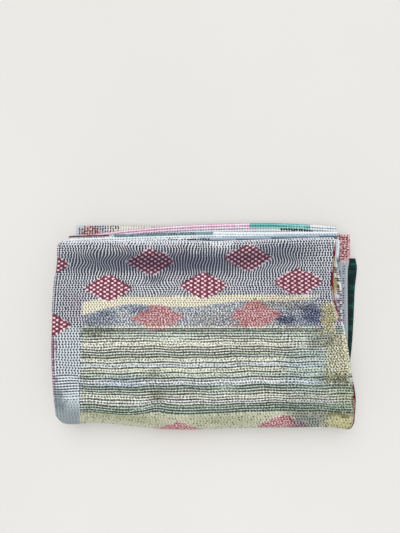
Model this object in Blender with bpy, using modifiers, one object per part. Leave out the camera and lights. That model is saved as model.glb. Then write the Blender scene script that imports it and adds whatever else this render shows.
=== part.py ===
"""A kantha quilt, folded in half twice each way, lying on the floor.

Units are metres and +Z is up. X runs along the folded width, +Y points to the
far side, where the short ends of the cloth lie fanned out. The quilt is one
sheet: a flat grid whose columns are folded across the width into four plies,
and whose rows then carry those plies round four leaves.
"""

import bisect
import math
from collections import namedtuple

import bpy

QUILT_NAME = "quilt"
COLLECTION_NAME = "kantha_quilt"
CLOTH_COLOUR = (0.46, 0.49, 0.52, 1.0)
CLOTH_ROUGHNESS = 0.95

MM = 0.001

# The cloth and its folded stack.
CLOTH_THICKNESS = 2.2 * MM
PLY_GAP = 0.6 * MM
LEAF_GAP = 0.6 * MM
PLY_PITCH = CLOTH_THICKNESS + PLY_GAP
LEAF_PITCH = 4 * PLY_PITCH + LEAF_GAP
STACK_MIDDLE_Z = 2 * LEAF_PITCH

# Where the leaves turn, and where their free ends lie if nothing slipped.
NEAR_TURN_Y = -172 * MM
FAR_TURN_Y = 156 * MM
FREE_END_Y = 185 * MM
SLIP_START_Y = 40 * MM

# Grid lines of the flat stretches, and how many facets go round each turn.
RUN_STATIONS_X = [-220 * MM, -145 * MM, -50 * MM, 50 * MM, 140 * MM, 215 * MM]
RUN_STATIONS_Y = [-130 * MM, -80 * MM, -25 * MM, 30 * MM, 75 * MM, 105 * MM, 131 * MM]
WIDE_TURN_FACETS = 8
TIGHT_TURN_FACETS = 5

# A strip folded in half twice makes four passes. These are their levels in
# pitches from the middle, in order. The first and the last end in a free edge.
FREE_PASS, BACK_PASS, INNER_PASS, LAST_PASS = 1.5, -1.5, -0.5, 0.5

# The radii of its turns, in pitches.
WIDE_TURN, TIGHT_TURN = 1.5, 0.5

# Where the sides of the plies lie, in mm, going along the quilt's length.
# place: 0-1 bottom leaf, 1-2 near turn, 2-3 top leaf, 3-4 far turn,
# 4-5 second leaf, 5-6 inner near turn, 6-7 third leaf.
Side = namedtuple("Side", "place left hem_1 hem_2 fold_34")
SIDES = [
    Side(0.00, -252, 258, 301, 262),
    Side(0.08, -253, 260, 304, 264),
    Side(0.25, -255, 262, 300, 265),
    Side(0.50, -258, 264, 297, 266),
    Side(0.70, -262, 266, 291, 266),
    Side(1.00, -264, 268, 272, 266),
    Side(1.50, -262, 276, 271, 266),
    Side(2.00, -277, 284, 279, 268),
    Side(2.12, -281, 286, 278, 268),
    Side(2.25, -284, 278, 272, 266),
    Side(2.38, -285, 272, 267, 262),
    Side(2.50, -284, 264, 264, 258),
    Side(2.60, -283, 252, 262, 255),
    Side(2.75, -280, 245, 261, 252),
    Side(2.86, -276, 246, 255, 250),
    Side(3.00, -272, 249, 257, 248),
    Side(3.50, -268, 247, 257, 246),
    Side(4.00, -268, 250, 258, 250),
    Side(5.00, -268, 266, 268, 260),
    Side(6.00, -268, 262, 276, 266),
    Side(6.40, -266, 262, 282, 270),
    Side(7.00, -260, 260, 281, 268),
]

# How far each ply's short end reaches to the far side, in mm, by its place
# across the width. Plies that share a side fold share that side's figure.
FreeEnd = namedtuple("FreeEnd", "left near_left middle near_right right")
BOTTOM_LEAF_ENDS = {
    FREE_PASS: FreeEnd(174, 182, 184, 180, 172),
    LAST_PASS: FreeEnd(199, 190, 186, 172, 134),
    INNER_PASS: FreeEnd(199, 200, 196, 195, 197),
    BACK_PASS: FreeEnd(174, 190, 197, 203, 197),
}
THIRD_LEAF_ENDS = {
    FREE_PASS: FreeEnd(177, 184, 185, 187, 186),
    LAST_PASS: FreeEnd(178, 187, 189, 188, 176),
    INNER_PASS: FreeEnd(178, 184, 184, 184, 182),
    BACK_PASS: FreeEnd(177, 182, 182, 182, 182),
}
FREE_END_COLUMNS_X = [-262 * MM, -140 * MM, 0.0, 140 * MM, 262 * MM]

# Soft swells of the top, which die out towards the floor, in mm.
Swell = namedtuple("Swell", "x y reach_x reach_y height")
SWELLS = [
    Swell(-20, 156, 300, 27, 7.0),
    Swell(-265, 20, 40, 110, 2.5),
    Swell(-90, 35, 110, 45, 1.6),
    Swell(150, 10, 120, 60, 2.2),
    Swell(0, -160, 260, 34, 2.4),
    Swell(262, -125, 50, 40, 2.0),
]

# How the near edge waves: x and the shift of y there, in mm.
NEAR_EDGE_WAVE = [(-290, 7), (-240, 2), (-108, 1), (-30, -3), (88, 0), (208, 1), (300, -5)]
NEAR_WAVE_START_Y = -90 * MM

# A stop is one grid line of a folded strip. run is the station of a flat
# stretch, or None. turn is the unit vector (along, up) from a turn's centre,
# or None, and radius is the turn's in pitches. side names the turn or end.
Stop = namedtuple("Stop", "place level run turn radius side pass_level")


def turn_stops(first_place, centre, radius, outward, rising, facets, side, passes):
    """The stops inside a half turn. outward is -1 or +1 along the strip."""
    stops = []
    for i in range(1, facets):
        angle = math.pi * i / facets
        along, up = outward * math.sin(angle), math.cos(angle) * (-1 if rising else 1)
        pass_level = passes[0] if angle < math.pi / 2 else passes[1]
        level = centre + radius * up
        stops.append(Stop(first_place + i / facets, level, None, (along, up), radius, side, pass_level))
    return stops


def run_stops(first_place, level, stations, ends, start, finish):
    """The stops of a flat pass, from side start to side finish."""
    low, high = ends
    ordered = stations if start == "low" else stations[::-1]
    stops = [Stop(first_place, level, None, None, 0.0, start, level)]
    for station in ordered:
        share = (station - low) / (high - low)
        share = share if start == "low" else 1 - share
        stops.append(Stop(first_place + share, level, station, None, 0.0, None, level))
    stops.append(Stop(first_place + 1, level, None, None, 0.0, finish, level))
    return stops


def folded_strip(stations, ends):
    """The stops of a strip folded in half twice: a wide turn at its low side,
    then a tight turn at its high side and a tight one inside the wide turn."""
    free, back, inner, last = FREE_PASS, BACK_PASS, INNER_PASS, LAST_PASS
    stops = run_stops(0, free, stations, ends, "high", "low")
    stops += turn_stops(1, 0.0, WIDE_TURN, -1, False, WIDE_TURN_FACETS, "low", (free, back))
    stops += run_stops(2, back, stations, ends, "low", "high")
    stops += turn_stops(3, -1.0, TIGHT_TURN, 1, True, TIGHT_TURN_FACETS, "high", (back, inner))
    stops += run_stops(4, inner, stations, ends, "high", "low")
    stops += turn_stops(5, 0.0, TIGHT_TURN, -1, True, TIGHT_TURN_FACETS, "low", (inner, last))
    stops += run_stops(6, last, stations, ends, "low", "high")
    return stops


def smooth_value(places, values, place):
    """Catmull-Rom curve through values at rising places."""
    i = min(max(bisect.bisect_right(places, place) - 1, 0), len(places) - 2)
    before, after = max(i - 1, 0), min(i + 2, len(places) - 1)
    span = places[i + 1] - places[i]
    t = min(max((place - places[i]) / span, 0.0), 1.0)
    slope_in = (values[i + 1] - values[before]) / (places[i + 1] - places[before]) * span
    slope_out = (values[after] - values[i]) / (places[after] - places[i]) * span
    rise = values[i + 1] - values[i]
    cubic = slope_in + slope_out - 2 * rise
    square = 3 * rise - 2 * slope_in - slope_out
    return values[i] + t * (slope_in + t * (square + t * cubic))


def side_at(place, name):
    return MM * smooth_value([row.place for row in SIDES], [getattr(row, name) for row in SIDES], place)


def column_x(column, place):
    """x of one grid column, where the quilt's length is at this place."""
    if column.run is not None:
        return column.run
    round_turn = column.turn[0] * column.radius * PLY_PITCH if column.turn else 0.0
    if column.side == "low":
        widest = WIDE_TURN * PLY_PITCH + CLOTH_THICKNESS / 2
        return side_at(place, "left") + widest + round_turn
    if column.pass_level == FREE_PASS:
        return side_at(place, "hem_1")
    if column.pass_level == LAST_PASS:
        return side_at(place, "hem_2")
    tightest = TIGHT_TURN * PLY_PITCH + CLOTH_THICKNESS / 2
    return side_at(place, "fold_34") - tightest + round_turn


def free_end_y(row, column, x):
    """y of the short end of the cloth in this leaf, ply and place."""
    ends = BOTTOM_LEAF_ENDS if row.pass_level == FREE_PASS else THIRD_LEAF_ENDS
    values = ends[column.pass_level]
    return MM * smooth_value(FREE_END_COLUMNS_X, values, x)


def row_y(row, column, x):
    """y of one grid row before the ply's own offset round a turn."""
    slips = row.pass_level in (FREE_PASS, LAST_PASS)
    if row.run is None and row.side == "low":
        return NEAR_TURN_Y
    if row.run is None and not slips:
        return FAR_TURN_Y
    if row.run is None:
        return free_end_y(row, column, x)
    slip = free_end_y(row, column, x) - FREE_END_Y if slips else 0.0
    return row.run + slip * max(0.0, row.run - SLIP_START_Y) / (FREE_END_Y - SLIP_START_Y)


def smooth_step(low, high, value):
    t = min(max((value - low) / (high - low), 0.0), 1.0)
    return t * t * (3 - 2 * t)


def lifted(x, y, z):
    """The point after the swells raise the leaves and the near edge waves."""
    half_stack = WIDE_TURN * (LEAF_PITCH + PLY_PITCH)
    share = (z - STACK_MIDDLE_Z + half_stack) / (2 * half_stack)
    rise = 0.0
    for swell in SWELLS:
        across = (x / MM - swell.x) / swell.reach_x
        along = (y / MM - swell.y) / swell.reach_y
        rise += swell.height * MM * math.exp(-across * across - along * along)
    places, shifts = zip(*NEAR_EDGE_WAVE)
    wave = MM * smooth_value(places, shifts, x / MM)
    wave *= smooth_step(NEAR_WAVE_START_Y, NEAR_TURN_Y, y)
    return x, y + wave, z + rise * share * share


def folded_point(row, column):
    """Where the quilt's grid point of this row and column lies when folded."""
    ply_offset = column.level * PLY_PITCH
    x = column_x(column, row.place)
    y = row_y(row, column, x)
    # The length is folded upside down: its first pass is the bottom leaf. So z
    # falls as the level rises, and every other leaf lies face down.
    if row.turn is None:
        face = -1 if row.pass_level in (FREE_PASS, INNER_PASS) else 1
        return lifted(x, y, STACK_MIDDLE_Z - row.level * LEAF_PITCH + face * ply_offset)
    # Round the inner near turn the first ply is the innermost one.
    inner_turn = row.side == "low" and row.radius == TIGHT_TURN
    radius = row.radius * LEAF_PITCH + (-ply_offset if inner_turn else ply_offset)
    across, up = row.turn
    turn_level = row.level - row.radius * up
    z = STACK_MIDDLE_Z - turn_level * LEAF_PITCH - up * radius
    return lifted(x, y + across * radius, z)


def make_quilt():
    """A grid, folded point by point, then thickened to the cloth's thickness."""
    columns = folded_strip(RUN_STATIONS_X, (side_at(2.5, "left"), side_at(2.5, "hem_1")))
    rows = folded_strip(RUN_STATIONS_Y, (NEAR_TURN_Y, FAR_TURN_Y))
    last_column, last_row = len(columns) - 1, len(rows) - 1
    bpy.ops.mesh.primitive_grid_add(x_subdivisions=last_column, y_subdivisions=last_row, size=2)
    quilt = bpy.context.object
    quilt.name = quilt.data.name = QUILT_NAME
    for vertex in quilt.data.vertices:
        column = columns[round((vertex.co.x + 1) / 2 * last_column)]
        row = rows[round((vertex.co.y + 1) / 2 * last_row)]
        vertex.co = folded_point(row, column)
    thicken = quilt.modifiers.new("cloth thickness", "SOLIDIFY")
    thicken.thickness = CLOTH_THICKNESS
    thicken.offset = 0.0
    thicken.use_even_offset = True
    return quilt


def rest_on_floor(quilt):
    """Stands the quilt on z = 0 with the middle of its box over the origin."""
    bpy.context.view_layer.update()
    box = quilt.evaluated_get(bpy.context.evaluated_depsgraph_get()).bound_box
    low = [min(corner[axis] for corner in box) for axis in range(3)]
    high = [max(corner[axis] for corner in box) for axis in range(3)]
    quilt.location = (-(low[0] + high[0]) / 2, -(low[1] + high[1]) / 2, -low[2])


def make_material():
    material = bpy.data.materials.new("quilted_cotton")
    material.use_nodes = True
    surface = material.node_tree.nodes["Principled BSDF"]
    surface.inputs["Base Color"].default_value = CLOTH_COLOUR
    surface.inputs["Roughness"].default_value = CLOTH_ROUGHNESS
    surface.inputs["Metallic"].default_value = 0.0
    return material


def clear_scene():
    for thing in list(bpy.data.objects):
        bpy.data.objects.remove(thing, do_unlink=True)


def main():
    clear_scene()
    collection = bpy.data.collections.new(COLLECTION_NAME)
    bpy.context.scene.collection.children.link(collection)
    quilt = make_quilt()
    for home in list(quilt.users_collection):
        home.objects.unlink(quilt)
    collection.objects.link(quilt)
    quilt.data.materials.append(make_material())
    rest_on_floor(quilt)


main()
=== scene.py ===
# %% [markdown]
# # A kantha quilt, folded on the floor
#
# A kantha quilt is four to six layers of worn sari cotton, laid on each other and sewn through
# all over with rows of running stitch. The stitches pull the layers down and the cloth between
# them puffs up, so the whole quilt has a fine ripple. It is patched: pale blue-grey with
# crimson diamonds, and inside a yellow border a panel of indigo and of green stripes.
#
# This lesson builds it as it is: one sheet of cloth that is folded in half twice each way, and
# then every stitch as a short piece of thread. The imported CAD model gives its place: the cloth
# is shifted onto the CAD solid's box.

import math

import bpy
import numpy as np
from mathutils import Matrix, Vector


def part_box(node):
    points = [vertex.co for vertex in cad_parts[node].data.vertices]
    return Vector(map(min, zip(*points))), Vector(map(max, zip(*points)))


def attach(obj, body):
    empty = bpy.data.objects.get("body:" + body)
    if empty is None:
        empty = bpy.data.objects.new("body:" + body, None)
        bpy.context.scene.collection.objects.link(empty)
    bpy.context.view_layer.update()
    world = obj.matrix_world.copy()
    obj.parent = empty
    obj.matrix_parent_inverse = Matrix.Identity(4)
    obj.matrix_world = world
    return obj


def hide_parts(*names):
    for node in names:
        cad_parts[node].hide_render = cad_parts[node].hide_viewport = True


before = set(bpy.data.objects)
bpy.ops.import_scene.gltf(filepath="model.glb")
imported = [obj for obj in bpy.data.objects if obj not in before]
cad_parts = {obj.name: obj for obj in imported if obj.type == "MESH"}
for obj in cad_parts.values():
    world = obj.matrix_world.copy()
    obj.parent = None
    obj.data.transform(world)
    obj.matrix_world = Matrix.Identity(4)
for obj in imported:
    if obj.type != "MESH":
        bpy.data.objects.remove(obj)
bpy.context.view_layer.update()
quilt_low, quilt_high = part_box("quilt")
print("folded quilt, mm:", [round(1000 * side) for side in quilt_high - quilt_low])

# %% [markdown]
# ## The folds
#
# The quilt is folded like a letter, twice each way. Across the width the cloth makes four
# passes, the plies, and along the length the pack of plies makes four passes, the leaves. Both
# follow the same walk: a free run, a wide turn, a run back, a tight turn, a run inside, a tight
# turn inside the wide one, and the last run. So one small table describes both, and every point
# of the cloth is found from how far it is across and along. That is surer than a simulation,
# because the sixteen layers can't pass through each other.

# %% The walk of a strip that is folded in half twice
CLOTH_THICKNESS = 2.2  # all sizes are in millimetres until the mesh is made
PLY_PITCH = 2.8
LEAF_PITCH = 11.8
STACK_MIDDLE_Z = 2 * LEAF_PITCH
HALF_CLOTH = CLOTH_THICKNESS / 2

# One entry for each piece of the walk: run, turn, run, turn, run, turn, run.
CENTRE = np.array([0, 0, 0, -1, -1, 0, 0])
RADIUS = np.array([1.5, 1.5, 1.5, 0.5, 0.5, 0.5, 0.5])
OUTWARD = np.array([1, 1, 1, 1, 1, -1, -1])
START_ANGLE = np.pi * np.array([0, 0, 1, 1, 0, 1, 0])
END_ANGLE = np.pi * np.array([0, 1, 1, 0, 0, 0, 0])
TURN_SIDE = np.array([0, -1, 0, 1, 0, -1, 0])

# How many stitches each piece holds, across and along. One is about 5.3 x 4.9 mm.
STITCHES_ACROSS = np.array([100, 3, 100, 1, 100, 1, 100])
STITCHES_ALONG = np.array([73, 15, 73, 7, 67, 2, 73])
ACROSS_STARTS = np.concatenate([[0], np.cumsum(STITCHES_ACROSS)])
ALONG_STARTS = np.concatenate([[0], np.cumsum(STITCHES_ALONG)])
STITCH_X = 5.3
STITCH_Y = 4.88
LAST_ACROSS, LAST_ALONG = ACROSS_STARTS[-1], ALONG_STARTS[-1]
NEAR_TURN_ROW, FIRST_TOP_ROW, FAR_TURN_ROW, FAR_TURN_END = ALONG_STARTS[1:5]
TOP_ROWS = [0, 34, 73]  # the rows of the top leaf, closer together beyond the stripes
TOP_ROWS_Y = [-172, -2.5, 156]
print("stitches across and along the open quilt:", LAST_ACROSS, LAST_ALONG)


def locate(position, starts):
    """Which piece of the walk a position is on, and what share of it has gone by."""
    piece = np.clip(np.searchsorted(starts, position, side="right") - 1, 0, 6)
    share = (position - starts[piece]) / (starts[piece + 1] - starts[piece])
    return piece, np.clip(share, 0, 1)


# %% [markdown]
# ## Where the sides and ends of the layers lie
#
# No one folds a quilt quite square. Each layer's sides and ends stick out by their own amount,
# and that uneven edge is much of what makes the pack look real. The tables say where the left
# folds, the two hems and the right fold lie as the cloth goes along its length, and how far each
# ply reaches at the far side. A smooth curve through the entries gives every place between.

# %% Sides, ends and swells of the pack
# place along the walk, left folds, hem of the top ply, hem of the ply under it, right fold
SIDES = np.array(
    [
        (0.00, -252, 258, 301, 262),
        (0.08, -253, 260, 304, 264),
        (0.25, -255, 262, 300, 265),
        (0.50, -258, 264, 297, 266),
        (0.70, -262, 266, 291, 266),
        (1.00, -264, 268, 272, 266),
        (1.50, -262, 276, 271, 266),
        (2.00, -277, 284, 279, 268),
        (2.12, -281, 286, 278, 268),
        (2.25, -284, 278, 272, 266),
        (2.38, -285, 272, 267, 262),
        (2.50, -284, 264, 264, 258),
        (2.60, -283, 252, 262, 255),
        (2.75, -280, 245, 261, 252),
        (2.86, -276, 246, 255, 250),
        (3.00, -272, 249, 257, 248),
        (3.50, -268, 247, 257, 246),
        (4.00, -268, 250, 258, 250),
        (5.00, -268, 266, 268, 260),
        (6.00, -268, 262, 276, 266),
        (6.40, -266, 262, 281, 270),
        (6.80, -263, 261, 281, 269),
        (6.88, -262, 261, 285, 269),
        (7.00, -260, 260, 285, 268),
    ]
)
NEAR_TURN_Y = -172
FAR_TURN_Y = 156
FREE_END_Y = 185
SLIP_START_Y = 40

# How far each pass across reaches at the far side: free run, run back, inner run, last run.
END_COLUMNS_X = [-262, -140, 0, 140, 262]
BOTTOM_LEAF_ENDS = [
    (174, 182, 184, 180, 172),
    (174, 191, 200.5, 203, 197),
    (198, 198.5, 196, 195, 197),
    (199, 190, 186, 172, 134),
]
THIRD_LEAF_ENDS = [
    (177, 181, 185, 185, 186),
    (176, 174, 176, 181, 182),
    (177, 175, 177, 182, 182),
    (177, 176, 178, 183, 180),
]

# Soft swells of the top: x, y, reach in x, reach in y, height.
SWELLS = [
    (-20, 156, 300, 27, 7.0), (-265, 20, 40, 110, 2.5), (-90, 35, 110, 45, 1.6),
    (150, 10, 120, 60, 2.2), (0, -160, 260, 34, 2.4), (262, -125, 50, 40, 2.0),
]
# How far the near and far edges of the upper leaves wave: x, and how far in y, in mm.
NEAR_EDGE_WAVE = [
    (-290, 13), (-247, 11), (-215, 13.5), (-170, 11.5), (-125, 6.5), (-71, 1.5), (-7, 1), (60, 3.5),
    (200, 5.5), (225, 6.5), (260, 3), (300, -3),
]
FAR_EDGE_WAVE = [
    (-300, 0), (-15, 0), (20, -1.2), (60, 0.2), (116, 2), (204, 5), (250, 6), (300, 5),
]
FAR_WAVE_START_Y = 110
NEAR_WAVE_START_Y = -105
NEAR_WAVE_FULL_Y = -198
print("places along the sides:", len(SIDES), "swells:", len(SWELLS))

# %% [markdown]
# Three small helpers read all the tables of this lesson: a smooth curve through the entries, a
# soft step from 0 to 1, and soft round spots.


# %% Smooth curves and soft spots
def smooth_curve(table, at):
    """Catmull-Rom curve through a table of places, which rise, and values."""
    places, values = np.asarray(table, float).T
    i = np.clip(np.searchsorted(places, at, side="right") - 1, 0, len(places) - 2)
    before, after = np.maximum(i - 1, 0), np.minimum(i + 2, len(places) - 1)
    span = places[i + 1] - places[i]
    t = np.clip((at - places[i]) / span, 0, 1)
    slope_in = (values[i + 1] - values[before]) / (places[i + 1] - places[before]) * span
    slope_out = (values[after] - values[i]) / (places[after] - places[i]) * span
    rise = values[i + 1] - values[i]
    cubic = slope_in + slope_out - 2 * rise
    square = 3 * rise - 2 * slope_in - slope_out
    return values[i] + t * (slope_in + t * (square + t * cubic))


def smooth_step(low, high, value):
    t = np.clip((value - low) / (high - low), 0, 1)
    return t * t * (3 - 2 * t)


def add_spots(total, x, y, spots):
    """Adds soft round spots to a value: x, y, reach in x, reach in y, strength."""
    for spot_x, spot_y, reach_x, reach_y, strength in spots:
        beside, beyond = (x - spot_x) / reach_x, (y - spot_y) / reach_y
        total = total + strength * np.exp(-(beside**2) - beyond**2)
    return total


print("left fold halfway along the top, mm:", round(float(smooth_curve(SIDES[:, :2], 2.5)), 1))


# %% Reach of the ends, and swells
def reach_of(ends, piece, share, x):
    """How far the short end of the cloth reaches on this piece of the walk across."""
    curves = np.array([smooth_curve(list(zip(END_COLUMNS_X, row)), x) for row in ends])
    first = piece // 2
    second = np.minimum(first + piece % 2, 3)
    places = np.arange(len(x))
    blend = np.where(piece % 2 == 1, share, 0)
    return (1 - blend) * curves[first, places] + blend * curves[second, places]


def lifted(x, y, z):
    """The swells raise the leaves, most at the top, and the near edge waves a little."""
    half_stack = 1.5 * (LEAF_PITCH + PLY_PITCH)
    share = (z - STACK_MIDDLE_Z + half_stack) / (2 * half_stack)
    rise = add_spots(np.zeros_like(z), x, y, SWELLS)
    wave = smooth_curve(NEAR_EDGE_WAVE, x)
    wave *= 1 - smooth_step(NEAR_WAVE_FULL_Y, NEAR_WAVE_START_Y, y)
    return y + wave, z + rise * share * share


print("near edge at the left, mm:", round(float(lifted(-220.0, NEAR_WAVE_FULL_Y, 0.0)[0]), 1))

# %% [markdown]
# ## The diamonds
#
# Crimson diamonds are scattered over the plain cloth, and paler coral ones lie on the indigo
# panel and on the near border. Only their middles are listed. The underside repeats the crimson
# ones in rows. They come this early because the stitches keep calmer lines inside a diamond.

# %% The crimson diamonds
DIAMOND_HALF_X = 45
DIAMOND_HALF_Y = 25
DIAMOND_POWER = 1.25  # 1 gives straight sides, and 2 an ellipse
DIAMONDS = [
    (-97, 127), (82.5, 134), (-295, 120), (-176, 77), (3, 81.5), (179, 88.5), (-290, 9),
    (-180, 209), (0, 207), (175, 205),
]
CORAL_DIAMONDS = [(-84, 22), (98, 26.5), (-47, -199), (149, -189)]
for number, row_y in enumerate(range(-285, -600, -54)):  # the rows of the underside
    DIAMONDS += [(column_x + 90 * (number % 2), row_y) for column_x in range(-280, 300, 180)]
FAR_OUTSIDE = -60  # the distance to a patch that is nowhere near, in mm
print("crimson diamonds:", len(DIAMONDS), "coral diamonds:", len(CORAL_DIAMONDS))


def diamond_distance(x, y, centres, half_x, half_y):
    """How far inside the nearest diamond a point is. Its sides are a little rounded."""
    best = np.full_like(x, FAR_OUTSIDE)
    for centre_x, centre_y in centres:
        beside, beyond = np.abs(x - centre_x) / half_x, np.abs(y - centre_y) / half_y
        inside = 1 - (beside**DIAMOND_POWER + beyond**DIAMOND_POWER) ** (1 / DIAMOND_POWER)
        best = np.maximum(best, inside * half_x * half_y / math.hypot(half_x, half_y))
    return best


# %% [markdown]
# ## The drift of the stitches
#
# Rows sewn by hand never line up for long. The stitches of one row start a little to the side of
# those in the row before, so the ripples wander in waves and turn into a herringbone. Two
# crossing waves, strong in some places and weak in others, give that wandering. The same drift
# moves the cloth's ripples and the threads, so each thread stays in its own dimple.

# %% Where the stitches line up, and where they sit like bricks
# x, y, reach in x, reach in y, how much more like bricks
BRICK_AREAS = [
    (-150, 47, 60, 14, 0.9), (228, 118, 40, 30, 0.8), (120, 50, 90, 10, 0.9), (0, 45, 260, 10, 1.0),
    (100, 75, 70, 16, 0.25), (60, 18, 260, 18, 0.8), (0, -190, 290, 26, 0.9),
    (0, 190, 300, 20, 0.6), (252, -50, 34, 60, 1.0), (238, 20, 26, 34, 1.0),
    (-258, -60, 34, 70, 0.6), (-235, 90, 60, 60, 0.45), (250, 100, 50, 40, 0.4),
    (-91, 78, 44, 18, -0.7), (75, 94, 30, 12, -0.5), (205, 142, 40, 12, -0.5),
]


def hollow_share(x, y):
    """1 in the long hollow beyond the diamonds, where the stitches line up in waves."""
    depth = np.exp(-(((y - 126) / 26) ** 4))
    return depth * smooth_step(-270, -225, x) * (1 - smooth_step(160, 205, x))


# Where the roll of the far turn starts: x, and y in mm.
ROLL_WIDTH = 16
ROLL_STARTS = [
    (-300, 155), (-180, 154), (-120, 151), (-50, 152), (0, 155), (35, 147), (70, 156), (150, 158),
    (230, 156), (300, 158),
]


def roll_highlight_share(x, y):
    """1 on the roll of the far turn, which gets a painted highlight: it is painted near white, and its
    stitches are thinner and fewer.
    """
    return smooth_step(0, ROLL_WIDTH, y - smooth_curve(ROLL_STARTS, x))


def brick_share(x, y):
    """0 where the stitches of the rows line up in columns, and 1 where they sit like bricks."""
    share = 0.62 + 0.38 * np.sin(x / 23 + 1.7 * np.sin(y / 17) + y / 31)
    share = add_spots(share, x, y, BRICK_AREAS)
    return np.clip(share * (1 - hollow_share(x, y)), 0, 1)


print("areas like bricks:", len(BRICK_AREAS), "share at the middle:", round(brick_share(0, 0), 2))


# %% The drift
def to_and_back(turns):
    """A zigzag between -1 and 1, once to and fro for each whole turn."""
    return 4 * np.abs(turns - np.floor(turns) - 0.5) - 1


def drift_of(x, y, across, along):
    """How far the stitches have wandered sideways at this place, in mm."""
    strong = 0.85 + 0.5 * np.sin(x / 61 + 1.3) * np.cos(y / 47 - 0.4)
    wave = 2.6 * np.sin(y / 6.6 + 1.9 * np.sin(x / 33) + x / 52)
    wave += 1.2 * np.sin(y / 3.9 - 1.4 * np.sin(x / 24 + 2) - x / 37)
    brick, hollow = brick_share(x, y), hollow_share(x, y)
    wandering = 0.3 * np.sin(x / 27) + 0.15 * np.sin(x / 15 + 2)
    herringbone = 4.3 * to_and_back(along / 8 + wandering + x / 170)
    herringbone += 0.6 * to_and_back(along / 3.3 - x / 90 + 0.25 * np.sin(x / 17))
    herringbone *= (1 - hollow) * (1 - brick)
    to_and_fro = 0.5 * np.cos(np.pi * along)
    fade = smooth_step(0, 1.5, across) * (1 - smooth_step(98, 100, across))
    in_diamond = diamond_distance(x, y, DIAMONDS, DIAMOND_HALF_X, DIAMOND_HALF_Y)
    calm = 1 - 0.7 * smooth_step(-2, 3, in_diamond)
    wander = (wave * strong * (0.3 + 0.7 * hollow) + herringbone) * calm
    return (wander + STITCH_X / 2 * to_and_fro * brick) * fade


sample_x, sample_along = np.linspace(-200, 200, 9), np.full(9, 150)
sample_drift = drift_of(sample_x, np.full(9, 120.0), np.full(9, 50), sample_along)
print("drift along one row of the hollow, mm:", np.round(sample_drift, 1))

# %% The rows that the sewing has pulled out of line
# The lowest rows of the striped panel are pulled the most: x, and how far in y, in mm.
ROW_PULL = [
    (-300, 0), (-226, -6), (-150, -8.5), (-118, -4), (-88, 4), (-60, 0), (0, 0), (60, 2.5),
    (120, 3.5), (230, 1.5), (300, 1),
]


def row_pull(x, y):
    """How far a row of the top has moved towards the far side here, in mm."""
    lowest = smooth_step(-122, -152, y) * np.clip((y - NEAR_TURN_Y) / 15, 0, 1)
    pull = smooth_curve(ROW_PULL, x) * lowest
    wobble = 0.9 * np.sin(x / 29 + y / 41) + 0.7 * np.sin(x / 11 + y / 13)
    slope = 3.5 * smooth_step(-140, 150, x) * np.exp(-(((y + 92) / 42) ** 2))
    return pull + slope + wobble * smooth_step(-171, -140, y) * smooth_step(0, -30, y)


print("pull of the lowest row, mm:", np.round(row_pull(sample_x, -155), 1))

# %% [markdown]
# ## Folding a point
#
# One function folds the whole quilt. It takes places on the open cloth, counted in stitches,
# walks them across and then along, and adds the drift, the pull and the swells. The cloth's
# mesh and the threads both go through it, so they always fit each other.


# %% The two walks
def fold_across(column, share, off, place):
    """How far right a point is, how high in its plies, and how far right in the pattern."""
    left, hem_1, hem_2, fold = (smooth_curve(SIDES[:, [0, k]], place) for k in (1, 2, 3, 4))
    low = left + 1.5 * PLY_PITCH + HALF_CLOTH
    high = fold - 0.5 * PLY_PITCH - HALF_CLOTH
    corners = np.array([hem_1, low, low, high, high, low, low, hem_2])
    places = np.arange(len(column))
    start, end = corners[column, places], corners[column + 1, places]
    angle = START_ANGLE[column] + (END_ANGLE - START_ANGLE)[column] * share
    reach = RADIUS[column] * PLY_PITCH + OUTWARD[column] * off
    x = start + (end - start) * share + TURN_SIDE[column] * np.sin(angle) * reach
    offset = CENTRE[column] * PLY_PITCH + np.cos(angle) * reach
    return x, offset, np.where(column == 1, low - reach * angle, x)


def run_place(row, share, along, column, column_share, x):
    """How far along its leaf a point is, before the turns round off the ends of the leaf."""
    far = np.where((row == 0) | (row == 6), FREE_END_Y, FAR_TURN_Y)
    forward = np.isin(row, (2, 6))
    way = np.where(forward, 1, -1)
    y = np.where(forward, NEAR_TURN_Y, far) + way * share * (far - NEAR_TURN_Y)
    y = np.where(np.isin(row, (1, 5)), NEAR_TURN_Y, np.where(row == 3, FAR_TURN_Y, y))
    y = np.where(row == 2, np.interp(along - FIRST_TOP_ROW, TOP_ROWS, TOP_ROWS_Y), y)
    bottom = reach_of(BOTTOM_LEAF_ENDS, column, column_share, x)
    third = reach_of(THIRD_LEAF_ENDS, column, column_share, x)
    slip = np.where(row == 0, bottom, np.where(row == 6, third, FREE_END_Y)) - FREE_END_Y
    return y + slip * np.maximum(0, y - SLIP_START_Y) / (FREE_END_Y - SLIP_START_Y)


top_edges = fold_across(np.zeros(2, int), np.array([0, 1]), 0, np.full(2, 2.5))[0]
print("hem and fold of the top ply, mm:", np.round(top_edges, 1))


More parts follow.
